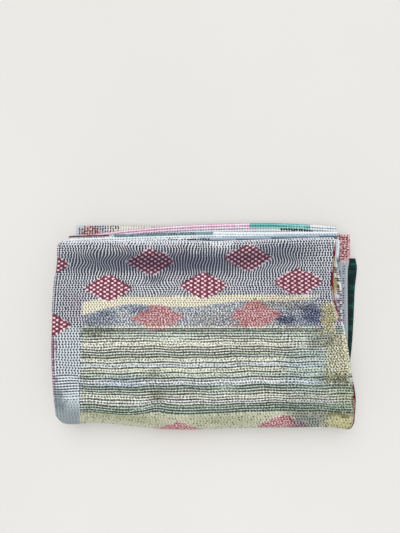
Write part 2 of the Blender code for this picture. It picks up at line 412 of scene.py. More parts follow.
# %% From a place on the open cloth to a point on the folded one
def cloth_point(across, along, off):
    """Folds points of the open quilt. across and along count stitches, and off is the height
    over the middle of the cloth, positive on the face side. It gives the point and the place in
    the pattern, which goes on round the turns as if the cloth were still flat."""
    across, along, off = np.broadcast_arrays(*(np.asarray(v, float) for v in (across, along, off)))
    column, column_share = locate(across, ACROSS_STARTS)
    row, row_share = locate(along, ALONG_STARTS)
    x, offset, pattern_x = fold_across(column, column_share, off, row + row_share)

    turn = START_ANGLE[row] + (END_ANGLE - START_ANGLE)[row] * row_share
    reach = RADIUS[row] * LEAF_PITCH + OUTWARD[row] * offset
    y = run_place(row, row_share, along, column, column_share, x)
    y = y + TURN_SIDE[row] * np.sin(turn) * reach
    z = STACK_MIDDLE_Z - CENTRE[row] * LEAF_PITCH - np.cos(turn) * reach
    underside = NEAR_TURN_Y - np.pi * reach - (y - NEAR_TURN_Y)
    near_arc = NEAR_TURN_Y - reach * (np.pi - turn)
    far_arc = FAR_TURN_Y + reach * (np.pi - turn)
    pattern_y = np.select([row == 0, row == 1, row == 3], [underside, near_arc, far_arc], y)

    on_face_run = column == 0
    drift = np.where(on_face_run, drift_of(pattern_x, pattern_y, across, along), 0)
    x, pattern_x = x + drift, pattern_x + drift
    pull = np.where((row == 2) & on_face_run, row_pull(x, y), 0)
    y, pattern_y = y + pull, pattern_y + pull
    far_wave = smooth_curve(FAR_EDGE_WAVE, x) * smooth_step(FAR_WAVE_START_Y, FAR_TURN_Y, y)
    y = y + np.where((row >= 2) & (row <= 4), far_wave, 0)
    y, z = lifted(x, y, z)
    return np.stack([x, y, z], -1), np.stack([pattern_x, pattern_y], -1), row, column


top_corner = cloth_point([100], [FAR_TURN_ROW], [HALF_CLOTH])[0][0]
print("far left corner of the top, mm:", np.round(top_corner, 1))

# %% [markdown]
# ## The patches
#
# Each patch is a distance: how many millimetres a point is inside the patch's edge, less than
# nothing when it is outside. The mesh carries these distances as attributes, and the material
# turns each one into a crisp, slightly ragged edge. The same distances choose the colour of the
# threads. The places are given one by one, as a quilter would measure them on the cloth.

# %% Sizes and places of the patches
# The two edges of the yellow band: x, and y in mm.
YELLOW_TOP = [
    (-226, 52), (-190, 57.5), (-150, 61), (-60, 62.5), (0, 63), (60, 65.5), (150, 64.5), (219, 65),
]
YELLOW_BOTTOM = [
    (-226, 27), (-212, 31), (-179, 40.5), (-143, 47), (-107, 46.5), (-54, 43), (-6, 43.5),
    (32, 49.5), (71, 53.5), (166, 54.5), (194, 57.5), (219, 64),
]
PLAIN_STRIP_RIGHT = -226  # the plain strip left of the panel ends here
PANEL_LEFT = -224
PANEL_RIGHT = 220
INDIGO_BOTTOM = 3.5
STRIPES_BOTTOM = -159.5
BORDER_BOTTOM = -222
HEM_WIDTH = 4.5
END_ROWS = 6  # the first rows, which show at the far side
LAST_LEAF_SHOWS_ROW = 300  # past it the last rows show at the far side too
PUFF_STITCHES = 2.5  # the puffs of a diamond: stitches from one to the next in a row, and rows
PUFF_ROWS = 2.0
PUFF_X = PUFF_STITCHES * STITCH_X
PUFF_Y = 8.1
print("panel, mm:", PANEL_RIGHT - PANEL_LEFT, "x", YELLOW_TOP[-1][1] - STRIPES_BOTTOM)


# %% Distances to the patches
def box_distance(x, y, left, right, bottom, top):
    return np.minimum(np.minimum(x - left, right - x), np.minimum(y - bottom, top - y))


def patch_distances(pattern, row, column, across, along):
    """The distance to each patch's edge, for points on the quilt's face."""
    x, y = pattern.T
    unpulled = np.interp(along - FIRST_TOP_ROW, TOP_ROWS, TOP_ROWS_Y)
    row_y = np.where((row == 2) & (y < 0), unpulled, y)
    from_hem = across * STITCH_X
    yellow_low = smooth_curve(YELLOW_BOTTOM, x)
    yellow_high = smooth_curve(YELLOW_TOP, x)
    waist = 234 + 6 * np.sin((y + 20) / 34)
    ragged = 2.5 * np.sin(x / 4.1 + y / 7) + 2 * np.sin(x / 9.3 - y / 3.7 + 1)
    puff_x = PUFF_X / 2 * np.round(2 * x / PUFF_X)
    offset = np.where(np.mod(np.round(2 * x / PUFF_X), 2) == 0, 0, PUFF_Y / 2)
    puff_y = PUFF_Y * np.round((y - offset) / PUFF_Y) + offset
    plain_diamond = diamond_distance(x, y, DIAMONDS, DIAMOND_HALF_X, DIAMOND_HALF_Y)
    puffed_diamond = diamond_distance(puff_x, puff_y, DIAMONDS, DIAMOND_HALF_X, DIAMOND_HALF_Y)
    coral = diamond_distance(x, y, CORAL_DIAMONDS, 49, 27) + 0.6 * ragged
    peak = diamond_distance(x, y, CORAL_DIAMONDS[:2], 34, 36) + 0.8 * ragged
    peak = np.where(y > 24, peak, FAR_OUTSIDE)
    far_yellow = box_distance(x, y, PANEL_LEFT - 2, PANEL_RIGHT, yellow_low, yellow_high)
    line_low, line_high = INDIGO_BOTTOM - 0.5, INDIGO_BOTTOM + 3
    near_yellow = box_distance(x, y, PANEL_LEFT, PANEL_RIGHT, line_low, line_high)
    found = {
        "diamond": 0.15 * plain_diamond + 0.85 * puffed_diamond,
        "indigo": box_distance(x, y, PANEL_LEFT + 3, PANEL_RIGHT, INDIGO_BOTTOM, yellow_low),
        "coral": np.maximum(coral, peak - 2),
        "yellow": np.maximum(np.minimum(far_yellow, 1.6 - 0.28 * peak), near_yellow),
        "stripes": box_distance(x, row_y, PANEL_LEFT - 6, 300, STRIPES_BOTTOM, INDIGO_BOTTOM),
        "olive": np.maximum(
            box_distance(x, y, PANEL_RIGHT + 1, 250, -8, 50),
            box_distance(x, y, waist, waist + 48, -100, -8),
        )
        + ragged,
        "border": box_distance(x, row_y, PANEL_LEFT - 6, 300, BORDER_BOTTOM, STRIPES_BOTTOM),
    }
    face = (row <= 3) & (column <= 1)
    hem_width = np.where(y > 0, HEM_WIDTH, 0.6 * HEM_WIDTH)
    off_hem = np.where((y < -6) & (y > -112), -FAR_OUTSIDE, from_hem - hem_width)
    for name, distance in found.items():
        found[name] = np.where(face, np.minimum(distance, off_hem), FAR_OUTSIDE)
    at_an_end = (row == 0) & (along < END_ROWS) | (row == 6) & (along > LAST_LEAF_SHOWS_ROW)
    far_strip = np.where(at_an_end, 9, FAR_OUTSIDE)
    dashed = np.where(face, box_distance(x, y, -320, -234, -134, -84), FAR_OUTSIDE)
    striped = np.minimum(found["stripes"], -found["olive"])
    found["rows"] = np.maximum.reduce([striped, far_strip, dashed])
    return found


one = np.ones(1)
there = patch_distances(np.array([[0.0, 20.0]]), 2 * one, 0 * one, 50 * one, 123 * one)
print("how far inside each patch a place on the panel is, mm:")
print({name: round(float(distance[0]), 1) for name, distance in there.items()})

# %% [markdown]
# ## Puckers
#
# Where a stitch bites, the quilt dips, and between the lines of stitching it swells. On the plain
# cloth the swells are long ridges between the columns of stitches. In a diamond they are rounder
# puffs set like bricks, and on the striped panel the ridges lie the other way, along the stripes.
# Real puckers matter more than bump here, because they are what the light catches.

# %% The rows of the striped panel
# Charted row by row from its far side: how strong each row's dark line is, from 0 to 9, and the
# dye between the lines.
FIRST_STRIPE_ROW = 122
STRIPE_CHART = "95645057878081818184288773747599"
STRIPE_DYE_CHART = "GSSSCCSCSSGCSBSYSSGWBGGSSCSWGGGG"
STRIPE_DYES = {
    "C": "#FAF8E8",
    "S": "#E4EEE0",
    "G": "#B6CABA",
    "B": "#E6EEF8",
    "Y": "#F2F7DE",
    "W": "#FFFFFF",
}


def stripe_strength(along):
    """How dark the sewn line is at this row of the striped panel, from 0 to 1."""
    rows = FIRST_STRIPE_ROW - np.arange(len(STRIPE_DYE_CHART))
    strengths = [int(mark) / 9 for mark in STRIPE_CHART]
    return np.interp(along, rows[::-1], strengths[::-1])


print("rows of the striped panel:", len(STRIPE_CHART))
# Where the lines of the panel are worn away or freshly sewn over: x, y, reaches, change.
LINE_SPOTS = [
    (-62, -16, 24, 9, -0.5), (42, -110, 26, 8, -0.8), (206, -30, 10, 9, 0.5),
    (128, -147, 20, 9, 0.5), (-118, -147, 24, 8, -0.5), (132, -54, 30, 8, -0.6),
    (80, -36, 22, 9, 0.5), (-222, -90, 14, 12, 0.5), (153, -36, 20, 8, 0.5),
    (-8, -69, 36, 11, -0.4), (-70, -112, 14, 9, 0.5),
]


def line_strength(x, along):
    """The same, fading in and out along each row as the thread and the light do."""
    row = np.round(along)
    y = np.interp(along - FIRST_TOP_ROW, TOP_ROWS, TOP_ROWS_Y)
    at_an_end = (along < END_ROWS) | (along > LAST_LEAF_SHOWS_ROW)
    elsewhere = at_an_end | (x < PANEL_LEFT - 6)
    sewn = np.where(elsewhere, 0.7, stripe_strength(along))
    sewn = sewn * (1 - 0.4 * smooth_step(150, 200, x))
    uneven = 0.5 * np.sin(x / 21 + 2.4 * row) + 0.4 * np.sin(x / 9.5 + 4.1 * row)
    uneven = uneven + 0.3 * np.sin(x / 47 + row)
    sewn = add_spots(sewn, x, y, LINE_SPOTS)
    return np.clip(0.12 + 0.88 * sewn + 0.3 * uneven, 0.05, 1)


# %% The height of the puckers
PUCKER = 0.75  # half the height from a dimple to a ridge, in mm


def cell_noise(across, along, seed):
    """A steady random number from 0 to 1 for each stitch."""
    mixed = np.sin(np.floor(across) * 127.1 + np.floor(along) * 311.7 + seed * 74.7) * 43758.5453
    return mixed - np.floor(mixed)


def puff_height(across, along):
    """The puffs of a diamond, set like bricks: 1 in the middle of a puff, under 0 between them."""
    wave_x = np.cos(2 * np.pi * across / PUFF_STITCHES)
    return wave_x * np.cos(2 * np.pi * along / PUFF_ROWS) - 0.2 * (1 - wave_x**2)


def pucker_height(across, along, pattern, patches):
    """From about -1 in a dimple to +1 on a ridge."""
    x, y = pattern.T
    broken = 0.15 + 0.35 * (1 - hollow_share(x, y))
    ridges = -np.cos(2 * np.pi * across) * (1 - broken + broken * np.cos(2 * np.pi * along))
    ridges *= 0.75 + 0.5 * cell_noise(across + 0.5, along, 1)
    strength = 0.3 + 0.7 * line_strength(x, along)
    furrows = 0.2 - 0.75 * strength * np.cos(2 * np.pi * along) + 0.55 * ridges
    in_diamond = smooth_step(-1, 2, patches["diamond"])
    in_stripes = smooth_step(-1, 2, patches["rows"])
    height = ridges * (1 - in_diamond) + 1.2 * puff_height(across, along) * in_diamond
    return height * (1 - in_stripes) + furrows * in_stripes


print("puff, in its middle and beside it:", puff_height(0, 0), puff_height(0, 1))

# %% [markdown]
# ## The cloth
#
# The mesh is one closed sheet: the face, the back, and a rounded rim at the hems. The face has
# two rows and two columns of points for each stitch wherever it shows, so a pucker is a real
# hill. The layers inside the pack need far fewer. Each row of points has its own list of columns,
# and where a fine row meets a coarse one the faces between them simply have more corners, which
# keeps the sheet closed.


# %% Lists of grid lines
HEM_LINES = np.array([0, 0.08, 0.22, 0.5])
THIRD_END_ROW = 304  # the points are close together from here on, on the last leaf


def column_lines(run_steps, last_step, turn_steps=2):
    """Grid lines across the cloth. run_steps says how many stitches apart they are on each of
    the four runs, and last_step on the part of the last run that sticks out."""
    lines = [*HEM_LINES, *(LAST_ACROSS - HEM_LINES)]
    for run, step in enumerate(run_steps):
        lines += list(np.arange(ACROSS_STARTS[2 * run], ACROSS_STARTS[2 * run + 1] + 0.01, step))
    lines += list(np.arange(LAST_ACROSS - 10, LAST_ACROSS, last_step))
    for turn, parts in ((1, 3), (3, 2), (5, 2)):
        lines += list(np.linspace(*ACROSS_STARTS[turn : turn + 2], parts * turn_steps + 1))
    return np.unique(np.round(lines, 3))


FACE_FINE = column_lines((0.5, 20, 20, 20), 5)
FACE_MEDIUM = column_lines((1, 20, 20, 10), 1)
FACE_HIDDEN = column_lines((10, 10, 10, 10), 5, 1)
FACE_BOTTOM_END = column_lines((5, 0.5, 10, 5), 1)
FACE_THIRD_END = column_lines((0.5, 10, 10, 10), 5)
BACK_LINES = column_lines((10, 10, 10, 10), 0.5, 1)
BACK_BOTTOM_END = column_lines((10, 10, 0.5, 5), 1, 1)
print("columns on the face:", len(FACE_FINE), "where it is hidden:", len(FACE_HIDDEN))


# %% The rows, and which lines each row has
def row_list(*ranges):
    lines = [0, 0.09, 0.24, LAST_ALONG - 0.24, LAST_ALONG - 0.09, LAST_ALONG]
    for first, last, step in ranges:
        lines += list(np.arange(first, last + 0.01, step))
    return np.unique(np.round(lines, 3))


FACE_ROWS = row_list(
    (0.5, END_ROWS, 0.5),
    (7, NEAR_TURN_ROW, 1),
    (NEAR_TURN_ROW, FAR_TURN_END, 0.5),
    (173, 233, 6),
    (235, 237, 0.5),
    (241, 301, 6),
    (THIRD_END_ROW, 309.5, 0.5),
)
BACK_ROWS = row_list(
    (0.5, END_ROWS, 0.5),
    (9, NEAR_TURN_ROW, 4),
    (NEAR_TURN_ROW, FIRST_TOP_ROW, 1),
    (90, 160, 2),
    (FAR_TURN_ROW, FAR_TURN_END, 0.5),
    (171, 234, 4),
    (235, 237, 0.5),
    (241, 293, 4),
    (294, 309, 0.5),
)


def face_lines(along):
    if along <= END_ROWS:
        return FACE_BOTTOM_END
    if along < NEAR_TURN_ROW:
        return FACE_MEDIUM
    if along <= FAR_TURN_END:
        return FACE_FINE
    return FACE_HIDDEN if along < THIRD_END_ROW else FACE_THIRD_END


def back_lines(along):
    return BACK_BOTTOM_END if along <= END_ROWS else BACK_LINES


print("rows of points on the face and the back:", len(FACE_ROWS), len(BACK_ROWS))

# %% [markdown]
# Now every point is folded. The face rises and sinks with the puckers, as freely as it can where
# it shows, and not at all where another layer lies on it. The cloth thins at its hems.


# %% Points of the face and the back
def rim_half_thickness(across, along):
    """The hems are rounded: the cloth thins to its edge over its last millimetre."""
    from_hem = np.minimum(across, LAST_ACROSS - across) * STITCH_X
    from_end = np.minimum(along, LAST_ALONG - along) * STITCH_Y
    inward = np.clip(np.minimum(from_hem, from_end) / HALF_CLOTH, 0, 1)
    return HALF_CLOTH * np.maximum(0.3, np.sqrt(1 - (1 - inward) ** 2))


def shown_share(along, column, y):
    """How freely the face can pucker here: fully where it shows, and not at all where another
    layer lies on it."""
    first = column <= 1
    main = (along > NEAR_TURN_ROW - 1) & (along <= FAR_TURN_END + 0.2) & first
    under = (along <= NEAR_TURN_ROW - 1) & first
    on_roll = main & (along > FAR_TURN_ROW - 2) & (y > 150)
    third_leaf = (along > THIRD_END_ROW - 1) & first
    bottom_end = (along < END_ROWS) & (column == 2)
    share = np.where(main, 1.0, 0.0)
    share = np.where(on_roll, 0.55, share)
    share = np.where(under, 0.5, share)
    share = np.where(third_leaf, 0.5 * smooth_step(172, 177, y), share)
    return np.where(bottom_end, 0.5 * smooth_step(186, 191, y), share)


def side_of_cloth(rows, lines_of, face):
    """All points of one side, row by row, with what the materials need to know there."""
    lists = [lines_of(along) for along in rows]
    across = np.concatenate(lists)
    along = np.repeat(rows, [len(lines) for lines in lists])
    half = rim_half_thickness(across, along)
    point, pattern, row, column = cloth_point(across, along, half if face else -half)
    patches = patch_distances(pattern, row, column, across, along)
    height = np.zeros(len(across))
    if face:
        height = pucker_height(across, along, pattern, patches)
        rise = PUCKER * height * shown_share(along, column, point[:, 1])
        rise = np.where((row == 0) & (column <= 1), np.minimum(rise - 0.35, 0), rise)
        rise *= smooth_step(0, 1.2, half) * smooth_step(0, 0.8, across)
        point, pattern, row, column = cloth_point(across, along, half + rise)
    else:
        patches = {name: np.full(len(across), float(FAR_OUTSIDE)) for name in patches}
        x, y = point[:, 0], point[:, 1]
        block = box_distance(x, y, 255, 300, 128, 195)
        small_diamond = diamond_distance(x, y, [(-220, 187)], 22, 13)
        patches["coral"] = np.where((row == 6) & (column == 6), block, patches["coral"])
        patches["coral"] = np.where((row == 0) & (column == 4), small_diamond, patches["coral"])
    starts = np.concatenate([[0], np.cumsum([len(lines) for lines in lists])])[:-1]
    return dict(
        lists=lists, starts=starts, across=across, along=along, point=point,
        pattern=pattern, row=row, column=column, patches=patches, pucker=height,
    )


face = side_of_cloth(FACE_ROWS, face_lines, True)
back = side_of_cloth(BACK_ROWS, back_lines, False)
print("points on the face and the back:", len(face["across"]), len(back["across"]))

# %% [markdown]
# The faces go from one grid line to the next, and a rim joins the face and the back on all four
# sides. Then the sheet is shifted once, so that it lies where the CAD solid lies.


# %% Faces between the grid lines
def strip(upper, upper_ids, lower, lower_ids):
    """Faces between two lists of grid lines. A face goes from one shared line to the next."""
    shared = np.intersect1d(upper, lower)
    above, below = np.searchsorted(upper, shared), np.searchsorted(lower, shared)
    for k in range(len(shared) - 1):
        first = upper_ids[above[k] : above[k + 1] + 1]
        second = lower_ids[below[k] : below[k + 1] + 1]
        yield [*first, *second[::-1]]


def side_faces(side, first_id, flip):
    ids = [
        np.arange(start, start + len(lines)) + first_id
        for start, lines in zip(side["starts"], side["lists"])
    ]
    faces = []
    for k in range(len(ids) - 1):
        faces += strip(side["lists"][k], ids[k], side["lists"][k + 1], ids[k + 1])
    return [corners[::-1] for corners in faces] if flip else faces, ids


back_first = len(face["across"])
faces, face_ids = side_faces(face, 0, False)
back_faces, back_ids = side_faces(back, back_first, True)
faces += back_faces
for end in (0, -1):
    face_hem = np.array([ids[end] for ids in face_ids])
    back_hem = np.array([ids[end] for ids in back_ids])
    hem = list(strip(FACE_ROWS, face_hem, BACK_ROWS, back_hem))
    faces += hem if end == 0 else [corners[::-1] for corners in hem]
for end in (0, -1):
    rims = list(strip(face["lists"][end], face_ids[end], back["lists"][end], back_ids[end]))
    faces += [corners[::-1] for corners in rims] if end == 0 else rims
faces = [[int(corner) for corner in corners] for corners in faces]
print("faces:", len(faces), "triangles:", sum(len(corners) - 2 for corners in faces))

# %% The shift to the frame, and the mesh
# The smooth sheet's box is put on the CAD box, which gives the one shift from this lesson's
# millimetres to the frame.
points = np.concatenate([face["point"], back["point"]])
MM = 0.001
smooth_points = cloth_point(back["across"], back["along"], HALF_CLOTH)[0]
flat_low = np.minimum(smooth_points.min(0), back["point"].min(0))
flat_high = np.maximum(smooth_points.max(0), back["point"].max(0))
cad_low, cad_high = np.array(quilt_low) / MM, np.array(quilt_high) / MM
shift = (cad_low + cad_high) / 2 - (flat_low + flat_high) / 2
shift[2] = -points[:, 2].min()
print("shift to the frame, mm:", np.round(shift, 2))
print("the smooth sheet's box, mm:", np.round(flat_high - flat_low, 1))

quilt = bpy.data.meshes.new("kantha_quilt")
quilt.from_pydata(((points + shift) * MM).tolist(), [], faces)
quilt_cloth = bpy.data.objects.new("quilt_cloth", quilt)
bpy.context.scene.collection.objects.link(quilt_cloth)
print("points of the mesh:", len(quilt.vertices))

# %% [markdown]
# ## The dyes
#
# The saris in the layers have their own colours, so what sticks out at the sides and the far end
# differs from the top. Each point gets the colour of its own sari as a colour attribute: pale
# blue-grey on the face, pink and sea green on the lowest leaf's end, dark teal on the ply that
# sticks out on the right, and a dark red hem. The same attribute carries painted shade in the
# near left corner and in the gap under the roll, and a painted highlight on the roll of the far
# turn. The colours are written as sRGB hex, which is how a maker would note them, and one
# function turns them into the linear values Blender works with.


# %% Colours of the saris
def linear(hex_colour):
    """sRGB hex to linear red, green and blue."""
    channels = np.array([int(hex_colour[k : k + 2], 16) for k in (1, 3, 5)]) / 255
    return np.where(channels <= 0.04045, channels / 12.92, ((channels + 0.055) / 1.055) ** 2.4)


GROUND = "#DEE5F1"
GROUND_LILAC = "#DCD5E6"
GROUND_WORN = "#EEF2F8"
SIDE_STRIP = "#E0ECF4"
# Painted shade of the near left corner, where the cloth curves down away from the light.
CORNER_PAINTED_SHADE = "#9EABB0"
HEM_RED = "#6E1A26"
OCHRE = "#AE9A68"
PALE_BLUE = "#EAF2F6"
STRIP_BLUE = "#B6BEC8"
FAR_PINK = "#FFCCE8"
FAR_TEAL = "#74C0BE"
FAR_TEAL_PALE = "#96D6D2"
DARK_TEAL = "#102E2E"
CHECK_WHITE = "#D0D7E3"
CREAM = "#F5F3EA"
OLIVE_EDGE = "#DEDCC4"
# Painted highlight of the roll of the far turn; it also makes the pale puffs on the pink end.
ROLL_WHITE = "#F2F8FE"
GAP_SHADE = "#56626C"
FINE_BLUE = "#A8BCCE"
PALE_GREEN = "#CFD9C2"
WORN_HEM = "#B8A890"
BLOCK_RED = "#B4606C"
TEAL_WORN = "#1A5A52"
FAR_GREY = "#7E9BA4"
TEAL_LEFT = 92  # where the pink end of the lowest leaf turns sea green, in mm
print("blue-grey as Blender takes it:", np.round(linear(GROUND), 3))

# %% Shadows and stains
# Where the top is darker all over: x, y, reach in x, reach in y, multiplied colour, strength.
SHADOWS = [
    (-80, 126, 192, 20, "#9A9EAE", 1.0),
    (135, 140, 75, 16, "#C0C4CE", 0.9),
    (-90, 95, 18, 8, "#B0B0BA", 0.9),
    (195, -68, 44, 44, "#D4E6F0", 0.8),
    (-286, -60, 10, 70, "#C98AA4", 1.0),
    (198, -180, 30, 20, "#C4CEDC", 0.9),
    (262, -184, 30, 22, "#F8F0CC", 0.9),
    (140, 48, 60, 9, "#E8E0D4", 0.9),
    (268, -125, 26, 26, "#C6D0B4", 0.8),
    (205, 26, 18, 20, "#B4BEDC", 0.8),
    (225, -18, 30, 15, "#A8ACA6", 0.9),
    (238, -93, 26, 10, "#AEB2A0", 0.9),
    (198, -148, 46, 30, "#C8CCCC", 0.9),
    (258, -161, 26, 7, "#98926C", 0.9),
    (262, -92, 14, 12, "#A0A496", 0.9),
    (-270, -134, 13, 26, "#A6AEB2", 0.9),
    (-150, -170, 84, 11, "#DADED0", 0.9),
    (40, -170, 70, 11, "#DADED2", 0.9),
    (176, 86, 46, 28, "#EFEFF1", 0.9),
    (154, 19, 17, 10, "#A8B0CC", 0.9),
    (-88, -84, 13, 8, "#A4A8A0", 0.9),
    (-88, -124, 13, 11, "#A8A898", 0.9),
]
# Stains and second dyes, which leave the puffs pale: the same measures.
STAINS = [
    (-196, -4, 34, 6, "#6E6038", 1.0),
    (-154, -97, 46, 14, "#B4CCEC", 0.8),
    (-122, 37, 18, 7, "#2A5296", 1.0),
    (-178, 30, 14, 7, "#2E4C84", 0.9),
    (-214, 14, 12, 9, "#35507E", 0.8),
    (-196, 20, 20, 14, "#5A7AAC", 0.5),
    (204, 30, 20, 20, "#1E2C70", 1.0),
    (156, 19, 18, 12, "#1A2868", 1.0),
    (176, 40, 24, 8, "#4A5890", 0.9),
    (-190, 14, 26, 10, "#6A82B0", 0.7),
    (20, 20, 40, 14, "#C8B8A8", 0.6),
    (70, 8, 14, 6, "#C87A84", 0.9),
    (236, 24, 14, 26, "#9A8850", 0.9),
]
print("shadows:", len(SHADOWS), "stains:", len(STAINS))


# %% Unevenness, and how dyes are laid on
def waves(x, y, seed):
    """Soft unevenness from 0 to 1, made of a few crossed waves."""
    total = np.sin(x / 37 + y / 53 + seed) + np.sin(x / 19 - y / 31 + 2 * seed)
    total += np.sin(x / 71 + y / 23 + 3 * seed) + 0.6 * np.sin(x / 9 + y / 11 + 5 * seed)
    return np.clip(0.5 + total / 5, 0, 1)


def dyed(colours, *dyes):
    """Lays dyes, and painted shade and light, over the colours, one after the other. Each is a hex
    colour and its share.
    """
    for colour, share in dyes:
        share = np.clip(share, 0, 1)[:, None]
        colours = colours * (1 - share) + linear(colour) * share
    return colours


def stripe_dye(along):
    """The dye between the lines of the striped panel, row by row."""
    rows = FIRST_STRIPE_ROW - np.arange(len(STRIPE_DYE_CHART))
    dyes = np.array([linear(STRIPE_DYES[mark]) for mark in STRIPE_DYE_CHART])
    return np.stack([np.interp(along, rows[::-1], dyes[::-1, k]) for k in range(3)], -1)


print("dye of the row nearest the indigo:", np.round(stripe_dye(np.array([FIRST_STRIPE_ROW])), 2))

# %% [markdown]
# The dyes are laid on one after the other: first what is worn all over, then the places of the
# face with their painted shade and painted highlight, and then the strips that stick out.


# %% Colours of the face
def face_colours(side, colours, x, y):
    row, column, across, along = (side[key] for key in ("row", "column", "across", "along"))
    in_stripes = side["patches"]["stripes"] > -3
    colours[in_stripes] = stripe_dye(along[in_stripes])
    main = (row <= 3) & (column <= 1)
    # The near left corner is painted in shade.
    in_shaded_corner = smooth_step(-222, -236, x) * smooth_step(-112, -168, y)
    hem = (row <= 2) & (column == 0) & (across < 0.75 + 0.5 * waves(5 * x, 4 * y, 6))
    hem = hem & ((y > 14) | (y < -104))
    rubbed = smooth_step(0.55, 0.7, waves(6 * x, 3.1 * y, 3))
    colours = dyed(
        colours,
        (SIDE_STRIP, (main & (x < PLAIN_STRIP_RIGHT) & (y < 10)) * 0.8),
        # painted highlight on the roll of the far turn
        (ROLL_WHITE, main * roll_highlight_share(x, y) * (row > 0) * 0.7),
        (CORNER_PAINTED_SHADE, main * in_shaded_corner),
        (HEM_RED, hem),
        (WORN_HEM, 0.6 * hem * rubbed),
    )
    third = (row == 6) & (column <= 1)
    from_roll = y - 168.8 - smooth_curve(FAR_EDGE_WAVE, x)
    colours = dyed(
        colours,
        (PALE_BLUE, third),
        (FAR_GREY, third & (along > 308.8) & (x < 20) & (x > -172)),
        (FINE_BLUE, third * smooth_step(-15, 0, x) * smooth_step(9, 4, from_roll)),
        (GAP_SHADE, third & (from_roll < 1.4) & (x > -30)),
        (HEM_RED, third & (along > 309.4) & (x < -180)),
    )
    ply_4 = (row == 0) & (column == 2)
    outer = smooth_step(1.9, 1.5, along)
    puffs = smooth_step(0.5, 0.7, cell_noise(2 * across, 2 * along, 12))
    teal = ply_4 & (x >= TEAL_LEFT) & (x < 210)
    washed = 0.5 * cell_noise(across, 2 * along, 15) + 0.6 * smooth_step(125, 170, x)
    ply_2 = (row == 0) & (column == 6)
    rubbed = smooth_step(0.6, 0.85, waves(3 * x, 9 * y, 2) + 0.3 * smooth_step(96, 118, y))
    return dyed(
        colours,
        (PALE_BLUE, ply_4),
        (FAR_PINK, ply_4 * outer * (x < TEAL_LEFT)),
        (ROLL_WHITE, ply_4 * puffs * (x < TEAL_LEFT) * 0.75),
        (FAR_TEAL, teal * outer),
        (FAR_TEAL_PALE, teal * smooth_step(0.6, 0.9, washed) * outer),
        (DARK_TEAL, ply_2 & (x > 255)),
        (TEAL_WORN, ply_2 * rubbed * (x > 255)),
    )


# %% Colours of the back, and of both sides
def back_colours(side, colours, x, y):
    row, column, across, along = (side[key] for key in ("row", "column", "across", "along"))
    ply_3 = (row == 0) & (column == 4)
    top_ply_2 = (row == 2) & (column == 6)
    third_ply_2 = (row == 6) & (column == 6)
    spotted = smooth_step(0.1, 0.4, cell_noise(2 * across, 1.4 * along, 14))
    curve = smooth_curve([(88, 266), (110, 258), (134, 251)], y)
    near_curve = (np.abs(x - curve) < 2.2) & (y > 88) & (y < 132)
    inside_hem = across < LAST_ACROSS - 0.75
    return dyed(
        colours,
        (CHECK_WHITE, ply_3 & (x < -190)),
        (CREAM, ply_3 & (x >= -190)),
        (OLIVE_EDGE, ply_3 & (x >= -178) & (along < 0.4)),
        (OCHRE, top_ply_2 * spotted * (y > 64) * (y < 118) * inside_hem),
        (PALE_GREEN, top_ply_2 * (y > 116) * (y < 134) * inside_hem),
        (HEM_RED, top_ply_2 * (y > 14) * (y < 60) * spotted * inside_hem * 0.7),
        (STRIP_BLUE, third_ply_2),
        (BLOCK_RED, 0.45 * third_ply_2 * (y > 136)),
        (GAP_SHADE, (top_ply_2 | third_ply_2) & near_curve),
        (FAR_GREY, third_ply_2 & (y > 176) & (x < 262)),
    )


def sari_colours_and_painted_light(side, is_face):
    x, y = side["pattern"].T
    worn = [(GROUND_LILAC, 0.8 * waves(x, y, 1) ** 2), (GROUND_WORN, 0.9 * waves(x, y, 4) ** 2)]
    colours = dyed(np.tile(linear(GROUND), (len(x), 1)), *worn)
    return face_colours(side, colours, x, y) if is_face else back_colours(side, colours, x, y)


face_dye_and_painted_light, back_dye_and_painted_shade = sari_colours_and_painted_light(face, True), sari_colours_and_painted_light(back, False)
print("mean dye, face and back:", np.round(face_dye_and_painted_light.mean(0), 2), np.round(back_dye_and_painted_shade.mean(0), 2))


# %% Shadows and stains, point by point
def tints(side, is_face, places, patches=()):
    """What each place is multiplied by, inside these patches or everywhere."""
    x, y = side["pattern"].T
    colours = np.ones((len(x), 3))
    main = is_face & (side["row"] <= 3) & (side["column"] <= 1)
    if patches:
        main = main & (np.maximum.reduce([side["patches"][name] for name in patches]) > -1)
    x = x + 14 * (cell_noise(side["across"], side["along"], 5) - 0.5)
    y = y + 8 * (cell_noise(side["across"], side["along"], 6) - 0.5)
    for tint_x, tint_y, reach_x, reach_y, colour, strength in places:
        share = np.exp(-(((x - tint_x) / reach_x) ** 4) - ((y - tint_y) / reach_y) ** 4)
        share = (share * strength * main)[:, None]
        colours *= 1 - share * (1 - linear(colour))
    return colours


STAINED = ("indigo", "stripes", "olive")
sides = ((face, True), (back, False))
shadows = np.concatenate([tints(*side, SHADOWS) for side in sides])
stains = np.concatenate([tints(*side, STAINS, STAINED) for side in sides])
print("mean of the shadows:", round(shadows.mean(), 3), "of the stains:", round(stains.mean(), 3))

# %% [markdown]
# The mesh carries the dyes with their painted light, the painted shadows and the stains, the
# distance to each patch and the painted shade where a stitch bites. The materials read them
# from there.


# %% What the mesh carries for the materials
def add_colours(mesh, name, values):
    attribute = mesh.color_attributes.new(name, "FLOAT_COLOR", "POINT")
    attribute.data.foreach_set("color", np.column_stack([values, np.ones(len(values))]).ravel())


def add_measure(mesh, name, values):
    attribute = mesh.attributes.new(name, "FLOAT", "POINT")
    attribute.data.foreach_set("value", np.ascontiguousarray(values, np.float32))


# Painted shade: how dark the cloth is painted where a stitch bites, patch by patch, the last one
# that holds a point.
STITCH_SHADES = {
    "border": 0.12,
    "indigo": 0.55,
    "coral": 0.5,
    "yellow": 0.3,
    "stripes": 0.9,
    "olive": 0.22,
    "diamond": 0.0,
}


